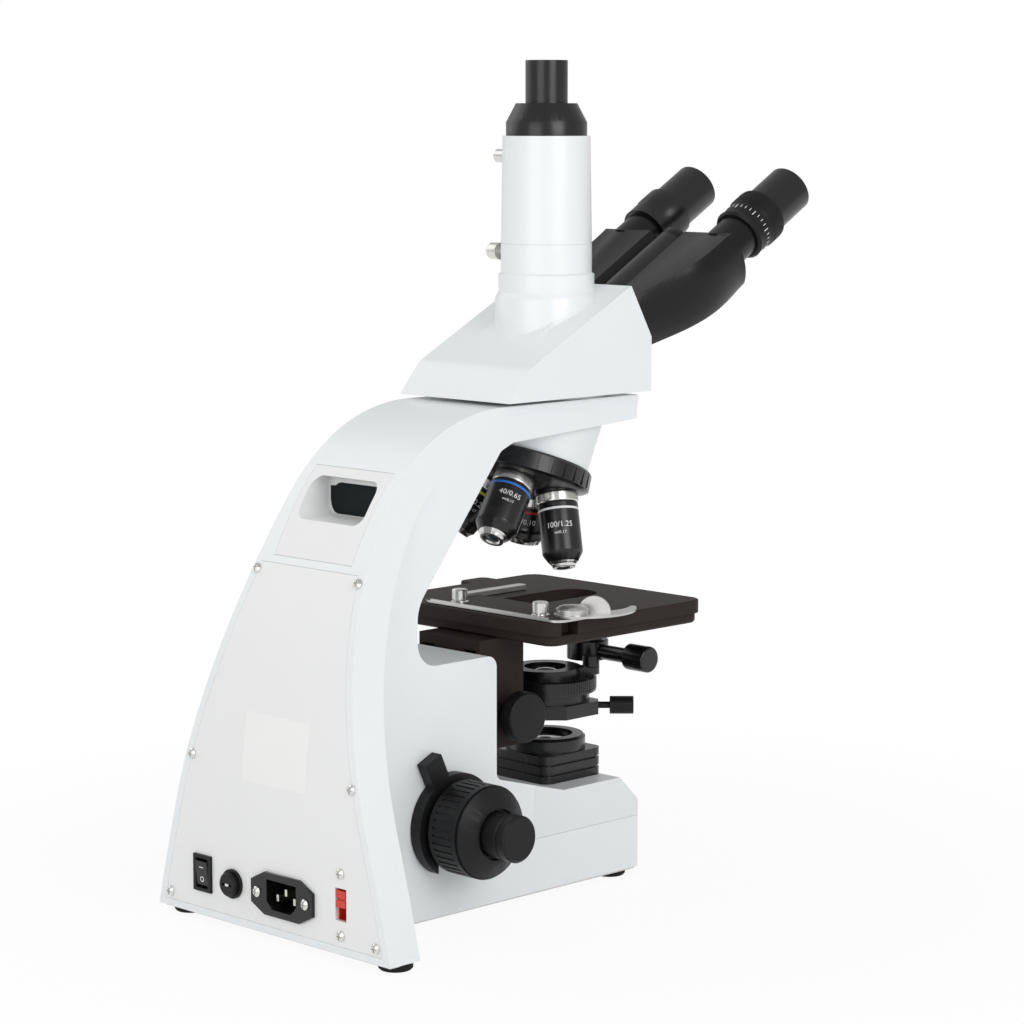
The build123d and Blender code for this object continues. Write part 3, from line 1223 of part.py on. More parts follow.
def nosepiece_mount():
    """The tapered white mount between the arm and the turret, with the turret's stud."""
    top_z = ARM_UNDER_FRONT[1] - 2.0
    plane = turret_plane(-GRIP_TOP - RUN)
    low = plane.location * Circle(TURRET_R - 3)
    face_low = low.face()
    high = Pos(0, 12, top_z + 20) * RectangleRounded(70, 92, 22)
    body = loft([face_low, high.face()])
    keep = block(-100, 100, -100, 200, 150, 400)
    under = prism_x([ARM_UNDER_FRONT, ARM_UNDER_REAR, (ARM_UNDER_REAR[0], 400), (ARM_UNDER_FRONT[0], 400)], 100)
    body = (body & keep) - Pos(0, 0, -RUN) * under
    stud = turret_plane().location * (Pos(0, 0, -GRIP_TOP / 2 - 1) * Cylinder(6.0, GRIP_TOP + 2))
    return body + stud


def eye_plane(s=0.0):
    """The folded axis: z towards the user and up, x to the user's right."""
    a = math.radians(EYE_ANGLE)
    return Plane(origin=(0, -math.cos(a) * s, EYE_AXIS_Z + math.sin(a) * s), x_dir=(1, 0, 0),
                 z_dir=(0, -math.cos(a), math.sin(a)))


def head_face_point(v):
    """A (y, z) point on the head's slanted face at a distance v up from the axis."""
    a = math.radians(EYE_ANGLE)
    return (-math.cos(a) * FACE_S + math.sin(a) * v, EYE_AXIS_Z + math.sin(a) * FACE_S + math.cos(a) * v)


def head_profile():
    """The head's side view."""
    low_v = (HEAD_FRONT_Y + math.cos(math.radians(EYE_ANGLE)) * FACE_S) / math.sin(math.radians(EYE_ANGLE))
    return [(HEAD_REAR_Y, HEAD_LOW_Z), SHOULDER_REAR, head_face_point(28.5), head_face_point(low_v),
            (HEAD_FRONT_Y, HEAD_LOW_Z)]


def head_housing():
    """The head's housing: the box with its sloped shoulders, and the saddle under the tube."""
    body = prism_x(head_profile(), HEAD_HALF, rounds=[(SHOULDER_REAR, 20.0)])
    saddle = turned((0, HEAD_LOW_Z + 30), (SADDLE_HALF, HEAD_LOW_Z + 30), (SADDLE_HALF, TUBE_BASE_Z - 4),
                    (TUBE_RING_R, TUBE_BASE_Z), (0, TUBE_BASE_Z))
    ridge = prism_x([(HEAD_REAR_Y - 6, HEAD_LOW_Z + 6), (0, TUBE_BASE_Z - 3), (0, HEAD_LOW_Z + 10)], SADDLE_HALF - 6)
    body = body + saddle + ridge
    body -= post(TUBE_RING_R, TUBE_BASE_Z, TUBE_BASE_Z + 20)
    body -= post(SEAT_RING_R + RUN, HEAD_LOW_Z - 1, HEAD_LOW_Z + 6)
    return body


def head_seat():
    """The round dovetail seat on the arm that the head turns on."""
    z = ARM_TOP_Z
    return turned((20, z), (36, z), (36, HEAD_LOW_Z - GAP), (SEAT_RING_R, HEAD_LOW_Z - GAP), (SEAT_RING_R - 3, HEAD_LOW_Z + 5.5),
                  (20, HEAD_LOW_Z + 5.5))


def photo_tube():
    """The white phototube: ring, lower and upper tube."""
    body = turned((PORT_R + 3, TUBE_BASE_Z), (TUBE_RING_R, TUBE_BASE_Z), (TUBE_RING_R, TUBE_RING_TOP_Z - 1),
                  (TUBE_LOW_R, TUBE_RING_TOP_Z), (TUBE_LOW_R, TUBE_JOINT_Z - 0.4), (TUBE_LOW_R - 0.6, TUBE_JOINT_Z), (TUBE_LOW_R - 0.1, TUBE_JOINT_Z + 0.4),
                  (TUBE_HIGH_R, TUBE_TOP_Z), (PORT_R + 3, TUBE_TOP_Z))
    body -= bar_x(2.0 + PLAY, 0, 60, 0, ROD_Z)
    return body - bar_x(1.8 + PLAY, 0, 60, 0, TUBE_TOP_Z - 12)


def photo_adapter():
    """The black adapter cone with the camera tube."""
    body = turned((PORT_BORE_R, TUBE_TOP_Z - 20), (PORT_R + 3 - PLAY, TUBE_TOP_Z - 20), (PORT_R + 3 - PLAY, TUBE_TOP_Z), (ADAPTER_BAND_R, TUBE_TOP_Z),
                  (ADAPTER_BAND_R, ADAPTER_BAND_Z), (ADAPTER_NECK_R, ADAPTER_NECK_Z), (PORT_R, ADAPTER_NECK_Z), (PORT_R, PORT_TOP_Z), (PORT_BORE_R, PORT_TOP_Z))
    return body


def tube_screw():
    """The phototube's lock screw on the user's right."""
    z = TUBE_TOP_Z - 12
    shaft = bar_x(1.8, PORT_R + 3, 36, 0, z)
    knob = bar_x(4.0, 31, 40, 0, z)
    return shaft + knob


def splitter_rod():
    """The light path's pull rod, pushed in."""
    shaft = bar_x(2.0, 8, 40, 0, ROD_Z)
    knob = bar_x(5.0, 38, 46, 0, ROD_Z)
    knob = fillet(knob.edges().group_by(Axis.X)[-1], 1.5)
    return shaft + knob


def head_hub():
    """The black hub the pods turn on, with its flange on the head's slanted face."""
    foot = Pos(0, 0, FACE_S + 0.5) * Cylinder(HUB_R + 3, 1.0)
    barrel = Pos(0, 0, (FACE_S + HUB_END_S - 4) / 2) * Cylinder(HUB_R, HUB_END_S - 4 - FACE_S)
    stub = Pos(0, 0, HUB_END_S - 2) * Cylinder(HUB_STUB_R, 7.0)
    cap = Pos(0, 0, HUB_END_S + 1.05) * Cylinder(HUB_R, 2.0)
    return eye_plane().location * (foot + barrel + stub + cap)


def pod_section(s, out, low):
    """A pod's section at a distance along the axis, on the left: flat top, bulged side."""
    top_in = (-POD_TOP - 1.3, POD_TOP, s)
    top_out = (-out, POD_TOP, s)
    low_out = (-out + 5, low + 2, s)
    low_in = (-1.0, low, s)
    middle = (-out - 2, (POD_TOP + low) / 2, s)
    edges = [
        Line(top_in, top_out),
        ThreePointArc(top_out, middle, low_out),
        Line(low_out, low_in),
        Line(low_in, (-1.0, -HUB_R + 3, s)),
        Line((-1.0, -HUB_R + 3, s), top_in),
    ]
    return make_face(Wire(edges))


def pod(side):
    """An eyepiece pod: lofted housing, eyepiece neck and the ear that turns on the hub."""
    body = loft([pod_section(*station) for station in POD_STATIONS])
    body -= Pos(0, 0, 100) * Cylinder(HUB_R + GAP, 200)
    ear_low = HUB_END_S - 4 + (0.05 if side < 0 else 2.05)
    ear = Pos(0, 0, ear_low + 0.925) * Cylinder(HUB_R, 1.85)
    link = Pos(-HUB_R - 2, -5, ear_low + 0.925) * Box(HUB_R + 4, 12, 1.85)
    tie = Pos(-HUB_R - 4.4, -5, ear_low - 2) * Box(6, 12, 7.7)
    body = body + ear + link + tie
    body -= Pos(0, 0, 100) * Cylinder(HUB_STUB_R + RUN, 200)
    body += Pos(-EYE_HALF, 0, (POD_FRONT_S - 2 + EYE_RING_S) / 2) * Cylinder(NECK_R, EYE_RING_S - POD_FRONT_S + 2)
    body -= Pos(-EYE_HALF, 0, EYE_RING_S - 10) * Cylinder(EYE_BORE_R, 40)
    if side > 0:
        body = mirror(body, about=Plane.YZ)
    return eye_plane().location * body


def eye_at(side, body):
    """Moves a piece from the eye plane's axis to one eyepiece."""
    return eye_plane().location * Pos(side * EYE_HALF, 0, 0) * body


def diopter_ring():
    """The left eyepiece's focusing ring."""
    s0 = EYE_RING_S + RUN
    ring = turned((EYE_BORE_R, s0), (EYE_RING_R - 1.6, s0), (EYE_RING_R, s0 + 1.4), (EYE_RING_R - 0.6, s0 + 3), (EYE_RING_R, s0 + 13),
                  (EYE_RING_R + 0.4, s0 + 14), (EYE_RING_R + 0.4, EYE_BARREL_S - 1.5), (EYE_R, EYE_BARREL_S - RUN), (EYE_BORE_R, EYE_BARREL_S - RUN))
    return eye_at(-1, ring)


def eyepiece(side):
    """An eyepiece: barrel, recessed eye lens and the tube that drops into the bore."""
    start = EYE_BARREL_S
    if side > 0:
        start = EYE_RING_S + RUN
    inner = EYE_BORE_R - 2 * RUN
    low = EYE_RING_S - 20
    points = [(0, low), (inner, low), (inner, start)]
    if side > 0:
        points += [(EYE_RING_R - 0.6, start), (EYE_RING_R - 0.6, start + 12), (EYE_RING_R, start + 13), (EYE_RING_R, EYE_BARREL_S - 1.5), (EYE_R, EYE_BARREL_S)]
    else:
        points += [(EYE_R, start)]
    points += [(EYE_R, EYE_END_S - EYE_EDGE), (EYE_R - EYE_EDGE, EYE_END_S), (11.5, EYE_END_S), (10.5, EYE_END_S - 4), (0, EYE_END_S - 3)]
    return eye_at(side, turned(*points))


PIECES = {
    "stand_casting": stand_casting,
    "rear_panel": rear_panel,
    "rear_screws": rear_screws,
    "inlet_housing": inlet_housing,
    "inlet_pins": inlet_pins,
    "switch_frame": switch_frame,
    "switch_rocker": switch_rocker,
    "fuse_holder": fuse_holder,
    "fuse_cap": fuse_cap,
    "selector_body": selector_body,
    "selector_slider": selector_slider,
    "handle_insert": handle_insert,
    "lamp_cover": lamp_cover,
    "base_plate": base_plate,
    "rubber_feet": rubber_feet,
    "led_module": led_module,
    "lamp_plates": lamp_plates,
    "field_ring": field_ring,
    "field_lens": field_lens,
    "dimmer_knob": dimmer_knob,
    "column_rail": column_rail,
    "nosepiece_mount": nosepiece_mount,
    "turret": turret,
    "focus_shaft": focus_shaft,
    "coarse_knob_left": lambda: coarse_knob(-1),
    "coarse_knob_right": lambda: coarse_knob(1),
    "fine_knob_left": fine_knob_left,
    "fine_knob_right": lambda: fine_knob(1) - bar_x(FINE_SHAFT_R, 0, FINE_OUT_X - 4, FOCUS_Y, FOCUS_Z),
    "limit_lever": limit_lever,
    "tension_ring": tension_ring,
    "stage_slide": stage_slide,
    "stage_lower_plate": stage_lower_plate,
    "stage_upper_plate": stage_upper_plate,
    "x_knob": x_knob,
    "y_knob": y_knob,
    "slide_holder": slide_holder,
    "holder_screws": holder_screws,
    "spring_finger": spring_finger,
    "condenser_carrier": condenser_carrier,
    "centring_screws": centring_screws,
    "condenser_knob": condenser_knob,
    "condenser_body": condenser_body,
    "condenser_lens": condenser_lens,
    "iris_ring": iris_ring,
    "top_lens_cell": top_lens_cell,
    "head_housing": head_housing,
    "photo_tube": photo_tube,
    "photo_adapter": photo_adapter,
    "tube_screw": tube_screw,
    "splitter_rod": splitter_rod,
    "head_hub": head_hub,
    "pod_left": lambda: pod(-1),
    "pod_right": lambda: pod(1),
    "diopter_ring": diopter_ring,
    "eyepiece_left": lambda: eyepiece(-1),
    "eyepiece_right": lambda: eyepiece(1),
}
for number, data in enumerate(OBJECTIVES):
    PIECES[data[0]] = lambda number=number: objective(number)

os.makedirs("parts", exist_ok=True)
for node, make in PIECES.items():
    piece = Pos(0, -BOX_MID_Y, 0) * make()
    export_step(piece, "parts/" + node + ".step")
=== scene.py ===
import json
import math

import bmesh
import bpy
from mathutils import Matrix, Vector
from mathutils.bvhtree import BVHTree


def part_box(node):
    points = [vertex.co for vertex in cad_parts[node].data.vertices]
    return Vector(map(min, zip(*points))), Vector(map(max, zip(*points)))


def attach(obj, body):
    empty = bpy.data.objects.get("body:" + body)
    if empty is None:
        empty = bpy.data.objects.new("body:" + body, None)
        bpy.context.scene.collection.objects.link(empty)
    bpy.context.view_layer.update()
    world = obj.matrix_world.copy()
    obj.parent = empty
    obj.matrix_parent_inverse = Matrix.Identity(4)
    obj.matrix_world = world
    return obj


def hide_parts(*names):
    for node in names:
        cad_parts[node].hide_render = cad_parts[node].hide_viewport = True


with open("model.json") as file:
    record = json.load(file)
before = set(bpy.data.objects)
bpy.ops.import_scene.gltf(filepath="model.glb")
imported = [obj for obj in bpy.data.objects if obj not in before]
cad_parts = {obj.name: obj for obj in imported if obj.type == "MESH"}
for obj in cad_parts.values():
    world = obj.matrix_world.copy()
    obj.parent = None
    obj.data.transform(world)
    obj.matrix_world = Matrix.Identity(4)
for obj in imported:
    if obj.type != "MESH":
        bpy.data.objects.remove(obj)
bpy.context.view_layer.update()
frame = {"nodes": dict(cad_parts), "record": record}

nodes = frame["nodes"]
MM = 0.001
TURN = 2 * math.pi

# Sizes are in millimetres unless a comment says otherwise.
# The optical axis is y = 0 in the part's own drawing, and this y in the row frame
AXIS_Y = sum(corner.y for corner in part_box("photo_adapter")) / 2 / MM

# The eyepieces' leaning axes, and the nosepiece with its ring of seats as it stands at rest
EYE_LEAN = math.radians(30)
EYE_AXIS_Z = 305.6
EYE_HALF = 38.0
NOSE_LEAN = math.radians(21)
SEAT_RADIUS = 21.0
SEAT_Z = 235.2
REST_TURN = math.radians(60.6)

# Vertices closer than this, in metres, are one
MERGE = 1e-6

# Angles in degrees: faces within the first are one face, edges over the others stay sharp or get a bevel
FLAT_WITHIN = 0.5
DRESS_CREASE = 34
TURNED_CREASE = 35
LABEL_CREASE = 30
BEVEL_FROM = 30
BEVEL_STEPS = 2

# A turned piece's corners are eased this far, at most this share of a side, or left if it is too little
CORNER_EASE = 0.3
EASE_SHARE = 0.45
LEAST_EASE = 0.02
SMALL_ROUND = 32

# How straight a face looks up or to the rear to be picked, as its normal's share that way
TOP_FACES = 0.9
REAR_FACES = 0.7
RECESS_FACES = 0.4
LABEL_FACES = 0.3

# The slide holder's sheet, with a dark top and bright edges
HOLDER_THICK = 1.5
HOLDER_TOP_WITHIN = 0.4

# The window in the hand recess: half its width, and how deep inside the arm painted shade darkens it, for
# the shade in the hollow arm.
# Rays that look for its outer surface start this far behind the object, in metres
RECESS_BESIDE = 29.5
RECESS_SHADE = 18.0
FAR_BEHIND = 1.0

# The selector's red slot reaches this far past its slider
SLOT_BESIDE = 1.0
SLOT_BELOW = 10.0
SLOT_ABOVE = 2.0

# The rocker's signs: half-way to its ends, a ring for off and a bar for on
PRINT_THICK = 0.08
SIGN_SHARE = 0.5
OFF_RING_IN = 1.1
OFF_RING_OUT = 1.6
ON_BAR_WIDE = 3.4
ON_BAR_HIGH = 0.5

# The fuse cap's bright contact
CAP_SUNK = 0.3
CONTACT_RADIUS = 1.5
CONTACT_TOP_RADIUS = 1.3

# The rating plate on the rear panel: its left, right, lower and upper edges
LABEL_EDGES = (-29.0, 23.0, 87.9, 125.8)
LABEL_THICK = 0.15

# The diopter ring's lower end along the eyepiece's axis and its radius, and the iris ring's ribs.
# A row of bars has a count, a bar's depth, width and length, and its middle along the axis
EYE_RING_S = 146.0
EYE_RING_R = 16.6
MARK_SUNK = 0.25
SHORT_MARKS = (32, (0.3, 0.35, 2.2), 8.6)
LONG_MARKS = (8, (0.32, 0.45, 3.6), 8.0)
RING_KNURL = (64, (0.5, 0.9, 8.6), 18.8)
RING_KNURL_PROUD = 0.35
IRIS_RIBS = (100, (0.6, 0.9, 6.4), 0)
IRIS_RIB_SUNK = 0.1

# The print on each objective faces the rear left while it hangs as in the photograph.
# It has this thickness, this share of it sunk in the barrel, and this many steps to a curve
PRINT_FACES = (-1.0, 1.0, 0.0)
PRINT_LIFT = 0.06
PRINT_SUNK_SHARE = 0.1
PRINT_STEPS = 3
INFINITE = "∞"

# What all objectives share, measured down from the seat
CORE_RADIUS = 9
SHOULDER_RADIUS = 12.1
SHOULDER_LOW = 5.2
SHOULDER_KNURL = (72, (0.5, 0.55, 4.2), 2.9)
KNURL_PROUD = 0.02
BARREL_TOP = 6.0
TIP_LONG = 9
BAND_PROUD = 0.05
BAND_SUNK = 0.3

# The studio, in metres. The shadow on the floor starts to fade at this square of the distance from
# the middle and fades at this rate
FLOOR_HALF = 6
FLOOR_COLOUR = (0.86, 0.86, 0.87)
FLOOR_GLOW = 0.92
FLOOR_CLOUD_SCALE = 3.0
FLOOR_CLOUD_SHADE = 0.985
SHADOW_FADE_FROM = 0.05
SHADOW_FADE_RATE = 5.0
WORLD_LEVEL = 0.60
WHITE_LIGHT = (1, 1, 1, 1)

# The photograph's camera: its place from the foot of the optical axis and the way it looks
CAMERA_BESIDE = -1.245
CAMERA_BEHIND = 1.273
CAMERA_ABOVE = 0.4538
CAMERA_WAY = (0.7011, -0.7009, -0.1309)
CAMERA_LENS = 107.0
CAMERA_SENSOR = 36.0
CAMERA_NEAR = 0.05

# Enamel, coatings and mouldings: the scale of their clouding, what clouding and orange peel add
# to the roughness, what is taken off it first, and how strongly the peel shows
CLOUD_SCALE = 9.0
CLOUD_ROUGH = 0.08
PEEL_ROUGH = 0.05
ROUGH_LESS = 0.06
PEEL_STRENGTH = 0.35

# Metals: the same for clouding and tool marks
TARNISH_SCALE = 60.0
TARNISH_SHADE = 0.88
MARK_ROUGH = 0.16
MARK_LESS = 0.08
MARK_STRENGTH = 0.25

# Painted shade on lenses: they darken with the square of their distance from the row frame's middle line, in
# metres
LENS_SHADE_RATE = 3000.0
LENS_PAINTED_SHADE = 0.55


# Shader maths
class Sock:
    """A shader socket that adds Math nodes when it is used in an expression."""

    def __init__(self, graph, socket):
        self.graph = graph
        self.socket = socket

    def maths(self, operation, *values):
        return self.graph.node("ShaderNodeMath", {"operation": operation}, dict(enumerate(values)), 0)

    def __add__(self, other):
        return self.maths("ADD", self, other)

    __radd__ = __add__

    def __mul__(self, other):
        return self.maths("MULTIPLY", self, other)

    __rmul__ = __mul__

    def __sub__(self, other):
        return self.maths("SUBTRACT", self, other)

    def __rsub__(self, other):
        return self.maths("SUBTRACT", other, self)

    def clamp(self):
        return self.maths("MAXIMUM", self.maths("MINIMUM", self, 1.0), 0.0)


class Graph:
    """A node tree under construction."""

    def __init__(self, tree):
        self.tree = tree
        tree.nodes.clear()

    def feed(self, node, key, value):
        """Links a node's input to a socket, or sets its value."""
        if isinstance(value, Sock):
            self.tree.links.new(value.socket, node.inputs[key])
        else:
            node.inputs[key].default_value = value

    def node(self, kind, settings, values, *outputs):
        """Adds a node, first its settings and then its inputs, and gives the outputs asked for."""
        node = self.tree.nodes.new(kind)
        for key, value in settings.items():
            setattr(node, key, value)
        for key, value in values.items():
            self.feed(node, key, value)
        socks = [Sock(self, node.outputs[key]) for key in outputs]
        return socks[0] if len(socks) == 1 else socks


class Finish(Graph):
    """A material under construction: one Principled shader and what feeds it."""

    def __init__(self, name):
        self.material = bpy.data.materials.new(name)
        self.material.use_nodes = True
        super().__init__(self.material.node_tree)
        self.shader = self.tree.nodes.new("ShaderNodeBsdfPrincipled")
        self.surface = Sock(self, self.shader.outputs[0])
        self.output = self.tree.nodes.new("ShaderNodeOutputMaterial")
        self.feed(self.output, 0, self.surface)
        self.place = self.node("ShaderNodeTexCoord", {}, {}, "Object")

    def set(self, **values):
        """Feeds the shader's own inputs."""
        for key, value in values.items():
            self.feed(self.shader, key.replace("_", " "), value)

    def noise(self, scale, detail, stretch=None):
        """Noise over the piece's own coordinates, drawn out where a stretch is given."""
        place = self.place
        if stretch:
            place = self.node("ShaderNodeMapping", {}, {"Vector": place, "Scale": stretch}, 0)
        return self.node("ShaderNodeTexNoise", {}, {"Vector": place, "Scale": scale, "Detail": detail}, 0)

    def from_middle(self):
        """The square of the distance from the row frame's upright middle line, in metres."""
        x, y = self.node("ShaderNodeSeparateXYZ", {}, {0: self.place}, 0, 1)
        return x * x + y * y

    def blend(self, mask, low, high):
        """A colour between two; a Mix node's colours are its inputs 6 and 7 and its output 2."""
        values = {0: mask, 6: (*low, 1.0), 7: (*high, 1.0)}
        return self.node("ShaderNodeMix", {"data_type": "RGBA"}, values, 2)

    def bump(self, height, strength, depth):
        """Raises the surface by a height map, its depth in metres."""
        values = {"Height": height, "Strength": strength, "Distance": depth}
        self.set(Normal=self.node("ShaderNodeBump", {}, values, 0))


def painted(name, colour, rough=0.32, grain=900.0, grain_depth=0.00003, coat=0.0, spread=0.012, shine=0.5):
    """Sprayed enamel or powder coat: orange peel, faint clouding and rough patches."""
    f = Finish(name)
    cloud = f.noise(CLOUD_SCALE, 2.0)
    peel = f.noise(grain, 2.0)
    dark = tuple(c * (1 - spread * 3) for c in colour)
    light = tuple(min(1.0, c * (1 + spread)) for c in colour)
    uneven = cloud * CLOUD_ROUGH + (peel * PEEL_ROUGH + (rough - ROUGH_LESS))
    f.set(Base_Color=f.blend(cloud, dark, light), Roughness=uneven, IOR=1.5)
    f.set(Coat_Weight=coat, Coat_Roughness=0.15, Specular_IOR_Level=shine)
    f.bump(peel, PEEL_STRENGTH, grain_depth)
    return f.material


def metal(name, colour, rough=0.25, stretch=(1, 1, 1), scale=900.0, depth=0.00002):
    """Bare or plated metal with fine tool marks along one direction."""
    f = Finish(name)
    marks = f.noise(scale, 3.0, stretch)
    cloud = f.noise(TARNISH_SCALE, 2.0)
    dull = tuple(c * TARNISH_SHADE for c in colour)
    f.set(Metallic=1.0, Base_Color=f.blend(cloud, dull, colour))
    f.set(Roughness=marks * MARK_ROUGH + (rough - MARK_LESS))
    f.bump(marks, MARK_STRENGTH, depth)
    return f.material


def glass(name, colour, rough=0.03):
    """A coated lens: dark, glossy and faintly coloured, with painted shade that darkens it away from the
    middle line.
    """
    f = Finish(name)
    # Painted shade: the lens colour darkens away from the upright middle line
    fade = (f.from_middle() * LENS_SHADE_RATE).clamp()
    dark = tuple(c * LENS_PAINTED_SHADE for c in colour)
    f.set(Base_Color=f.blend(fade, colour, dark), Roughness=rough, IOR=1.6)
    f.set(Coat_Weight=1.0, Coat_Roughness=0.02)
    return f.material


WHITE = painted("stand_enamel", (0.83, 0.86, 0.87), rough=0.30, grain=1400.0, coat=0.15)
PANEL_WHITE = painted("panel_enamel", (0.84, 0.85, 0.84), rough=0.38, grain=1800.0)
COVER_WHITE = painted("cover_plastic", (0.80, 0.83, 0.84), rough=0.34, grain=1500.0)
INSERT_WHITE = painted("insert_plastic", (0.83, 0.84, 0.83), rough=0.42, grain=2200.0, grain_depth=0.00005)
LABEL_WHITE = painted("label_film", (0.885, 0.89, 0.875), rough=0.5, grain=2600.0)
STAGE_BLACK = painted("stage_coat", (0.030, 0.021, 0.018), rough=0.52, grain=2600.0,
                      grain_depth=0.00006, spread=0.08, shine=0.12)
BODY_BLACK = painted("black_anodised", (0.006, 0.006, 0.007), rough=0.27, grain=3000.0,
                     grain_depth=0.00002, spread=0.08, shine=0.5)
POD_BLACK = painted("pod_moulding", (0.004, 0.004, 0.005), rough=0.27, grain=2400.0,
                    grain_depth=0.00004, spread=0.08, shine=0.30)
KNOB_BLACK = painted("knob_moulding", (0.008, 0.008, 0.009), rough=0.44, grain=3200.0,
                     grain_depth=0.00007, spread=0.08, shine=0.25)
GLOSS_BLACK = painted("switch_moulding", (0.007, 0.007, 0.008), rough=0.22, coat=0.2, spread=0.05, shine=0.3)
RUBBER = painted("foot_rubber", (0.012, 0.012, 0.012), rough=0.75, grain=1200.0,
                 grain_depth=0.0001, spread=0.1, shine=0.2)
# Painted shade: a dark finish deep in the hand recess, for the shade inside the hollow arm
RECESS_PAINTED_SHADE = painted("arm_hollow_painted_shade", (0.020, 0.026, 0.028), rough=0.7, grain=700.0,
                      grain_depth=0.0001, spread=0.2, shine=0.1)
RED = painted("selector_red", (0.62, 0.04, 0.02), rough=0.3)
PRINT_WHITE = painted("printed_white", (0.80, 0.81, 0.80), rough=0.5)
BAND_BLUE = painted("band_blue", (0.02, 0.17, 0.62), rough=0.35)
BAND_YELLOW = painted("band_yellow", (0.62, 0.58, 0.05), rough=0.35)
BAND_RED = painted("band_red", (0.60, 0.03, 0.03), rough=0.35)
STEEL = metal("holder_steel", (0.62, 0.61, 0.60), rough=0.34, stretch=(0.15, 1, 1), scale=1500.0)
NICKEL = metal("plated_nickel", (0.74, 0.73, 0.71), rough=0.22)
ALUMINIUM = metal("turned_aluminium", (0.66, 0.66, 0.67), rough=0.3, stretch=(1, 1, 4), scale=2200.0)
BRASS = metal("contact_brass", (0.70, 0.68, 0.62), rough=0.3)
LENS = glass("coated_lens", (0.05, 0.07, 0.09))
FIELD_GLASS = glass("field_glass", (0.30, 0.30, 0.29), rough=0.08)


# Frames
def cad_point(x, y, z):
    """A point of the part's own drawing, in the row frame in metres."""
    return Vector((x * MM, (y + AXIS_Y) * MM, z * MM))


def frame_on(origin, x_dir, z_dir):
    """A frame from its origin and two of its directions."""
    z = Vector(z_dir).normalized()
    x = Vector(x_dir)
    x = (x - z * x.dot(z)).normalized()
    y = z.cross(x)
    turn = Matrix((x, y, z)).transposed().to_4x4()
    return Matrix.Translation(origin) @ turn


def eye_frame(beside):
    """An eyepiece's frame: x to the right, y up, z along its axis towards the eye."""
    towards_eye = (0, -math.cos(EYE_LEAN), math.sin(EYE_LEAN))
    return frame_on(cad_point(beside, 0, EYE_AXIS_Z), (1, 0, 0), towards_eye)


def nose_frame():
    """The nosepiece's own frame: z along its axis, away from the arm."""
    origin = cad_point(0, SEAT_RADIUS * math.cos(NOSE_LEAN), SEAT_Z)
    return frame_on(origin, (1, 0, 0), (0, math.sin(NOSE_LEAN), -math.cos(NOSE_LEAN)))


# Meshes and objects
def in_scene(name, data):
    """A new object of the scene."""
    made = bpy.data.objects.new(name, data)
    bpy.context.scene.collection.objects.link(made)
    return made


def plain_mesh(carrier):
    """What a text or a modifier makes, as a plain mesh; its carrier goes."""
    finished = carrier.evaluated_get(bpy.context.evaluated_depsgraph_get())
    mesh = bpy.data.meshes.new_from_object(finished)
    bpy.data.objects.remove(carrier)
    return mesh


def as_mesh(bm, name):
    """What has been drawn, as a new mesh."""
    mesh = bpy.data.meshes.new(name)
    bm.to_mesh(mesh)
    bm.free()
    return mesh


def smooth_by_angle(mesh, degrees):
    """Smooth shading, with edges sharper than an angle kept sharp."""
    bm = bmesh.new()
    bm.from_mesh(mesh)
    for face in bm.faces:
        face.smooth = True
    limit = math.radians(degrees)
    for edge in bm.edges:
        if len(edge.link_faces) == 2:
            edge.smooth = edge.calc_face_angle(0.0) < limit
    bm.to_mesh(mesh)
    bm.free()


def add_object(name, mesh, material, body, *stands_for):
    """Links a finished mesh, gives it its material or materials and lets it ride on its body."""
    piece = in_scene(name, mesh)
    if isinstance(material, list):
        for one in material:
            mesh.materials.append(one)
    else:
        mesh.materials.clear()
        mesh.materials.append(material)
    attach(piece, body)
    if stands_for:
        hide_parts(*stands_for)
    return piece


def eased(profile, radius):
    """A (radius, height) outline with each corner rounded by three points of a parabola."""
    out = []
    count = len(profile)
    for i, (r, z) in enumerate(profile):
        if i in (0, count - 1):
            out.append((r, z))
            continue
        here = Vector((r, z))
        back = Vector(profile[i - 1]) - here
        ahead = Vector(profile[i + 1]) - here
        reach = min(radius, back.length * EASE_SHARE, ahead.length * EASE_SHARE)
        if reach < LEAST_EASE:
            out.append((r, z))
            continue
        start = here + back.normalized() * reach
        end = here + ahead.normalized() * reach
        middle = here * 0.5 + (start + end) * 0.25
        out += [tuple(start), tuple(middle), tuple(end)]
    return out


def turned(profile, place, count=96, ease=CORNER_EASE):
    """A turned mesh about a frame's Z from (radius, height) points."""
    outline = eased(profile, ease) if ease else profile
    bm = bmesh.new()
    rings = []
    for r, z in outline:
        if r == 0:
            rings.append([bm.verts.new((0, 0, z * MM))])
            continue
        ring = []
        for i in range(count):
            around = TURN * i / count
            ring.append(bm.verts.new((r * MM * math.cos(around), r * MM * math.sin(around), z * MM)))
        rings.append(ring)
    for low, high in zip(rings, rings[1:]):
        for i in range(count):
            j = (i + 1) % count
            corners = [low[i % len(low)], low[j % len(low)], high[j % len(high)], high[i % len(high)]]
            unique = list(dict.fromkeys(corners))
            if len(unique) > 2:
                bm.faces.new(unique)
    bm.transform(place)
    bmesh.ops.recalc_face_normals(bm, faces=bm.faces)
    mesh = as_mesh(bm, "turned")
    smooth_by_angle(mesh, TURNED_CREASE)
    return mesh


def joined(meshes):
    """Several meshes as one, each with its own material slot."""
    bm = bmesh.new()
    for slot, mesh in enumerate(meshes):
        start = len(bm.faces)
        bm.from_mesh(mesh)
        bm.faces.ensure_lookup_table()
        for face in bm.faces[start:]:
            face.material_index = slot
    return as_mesh(bm, "joined")


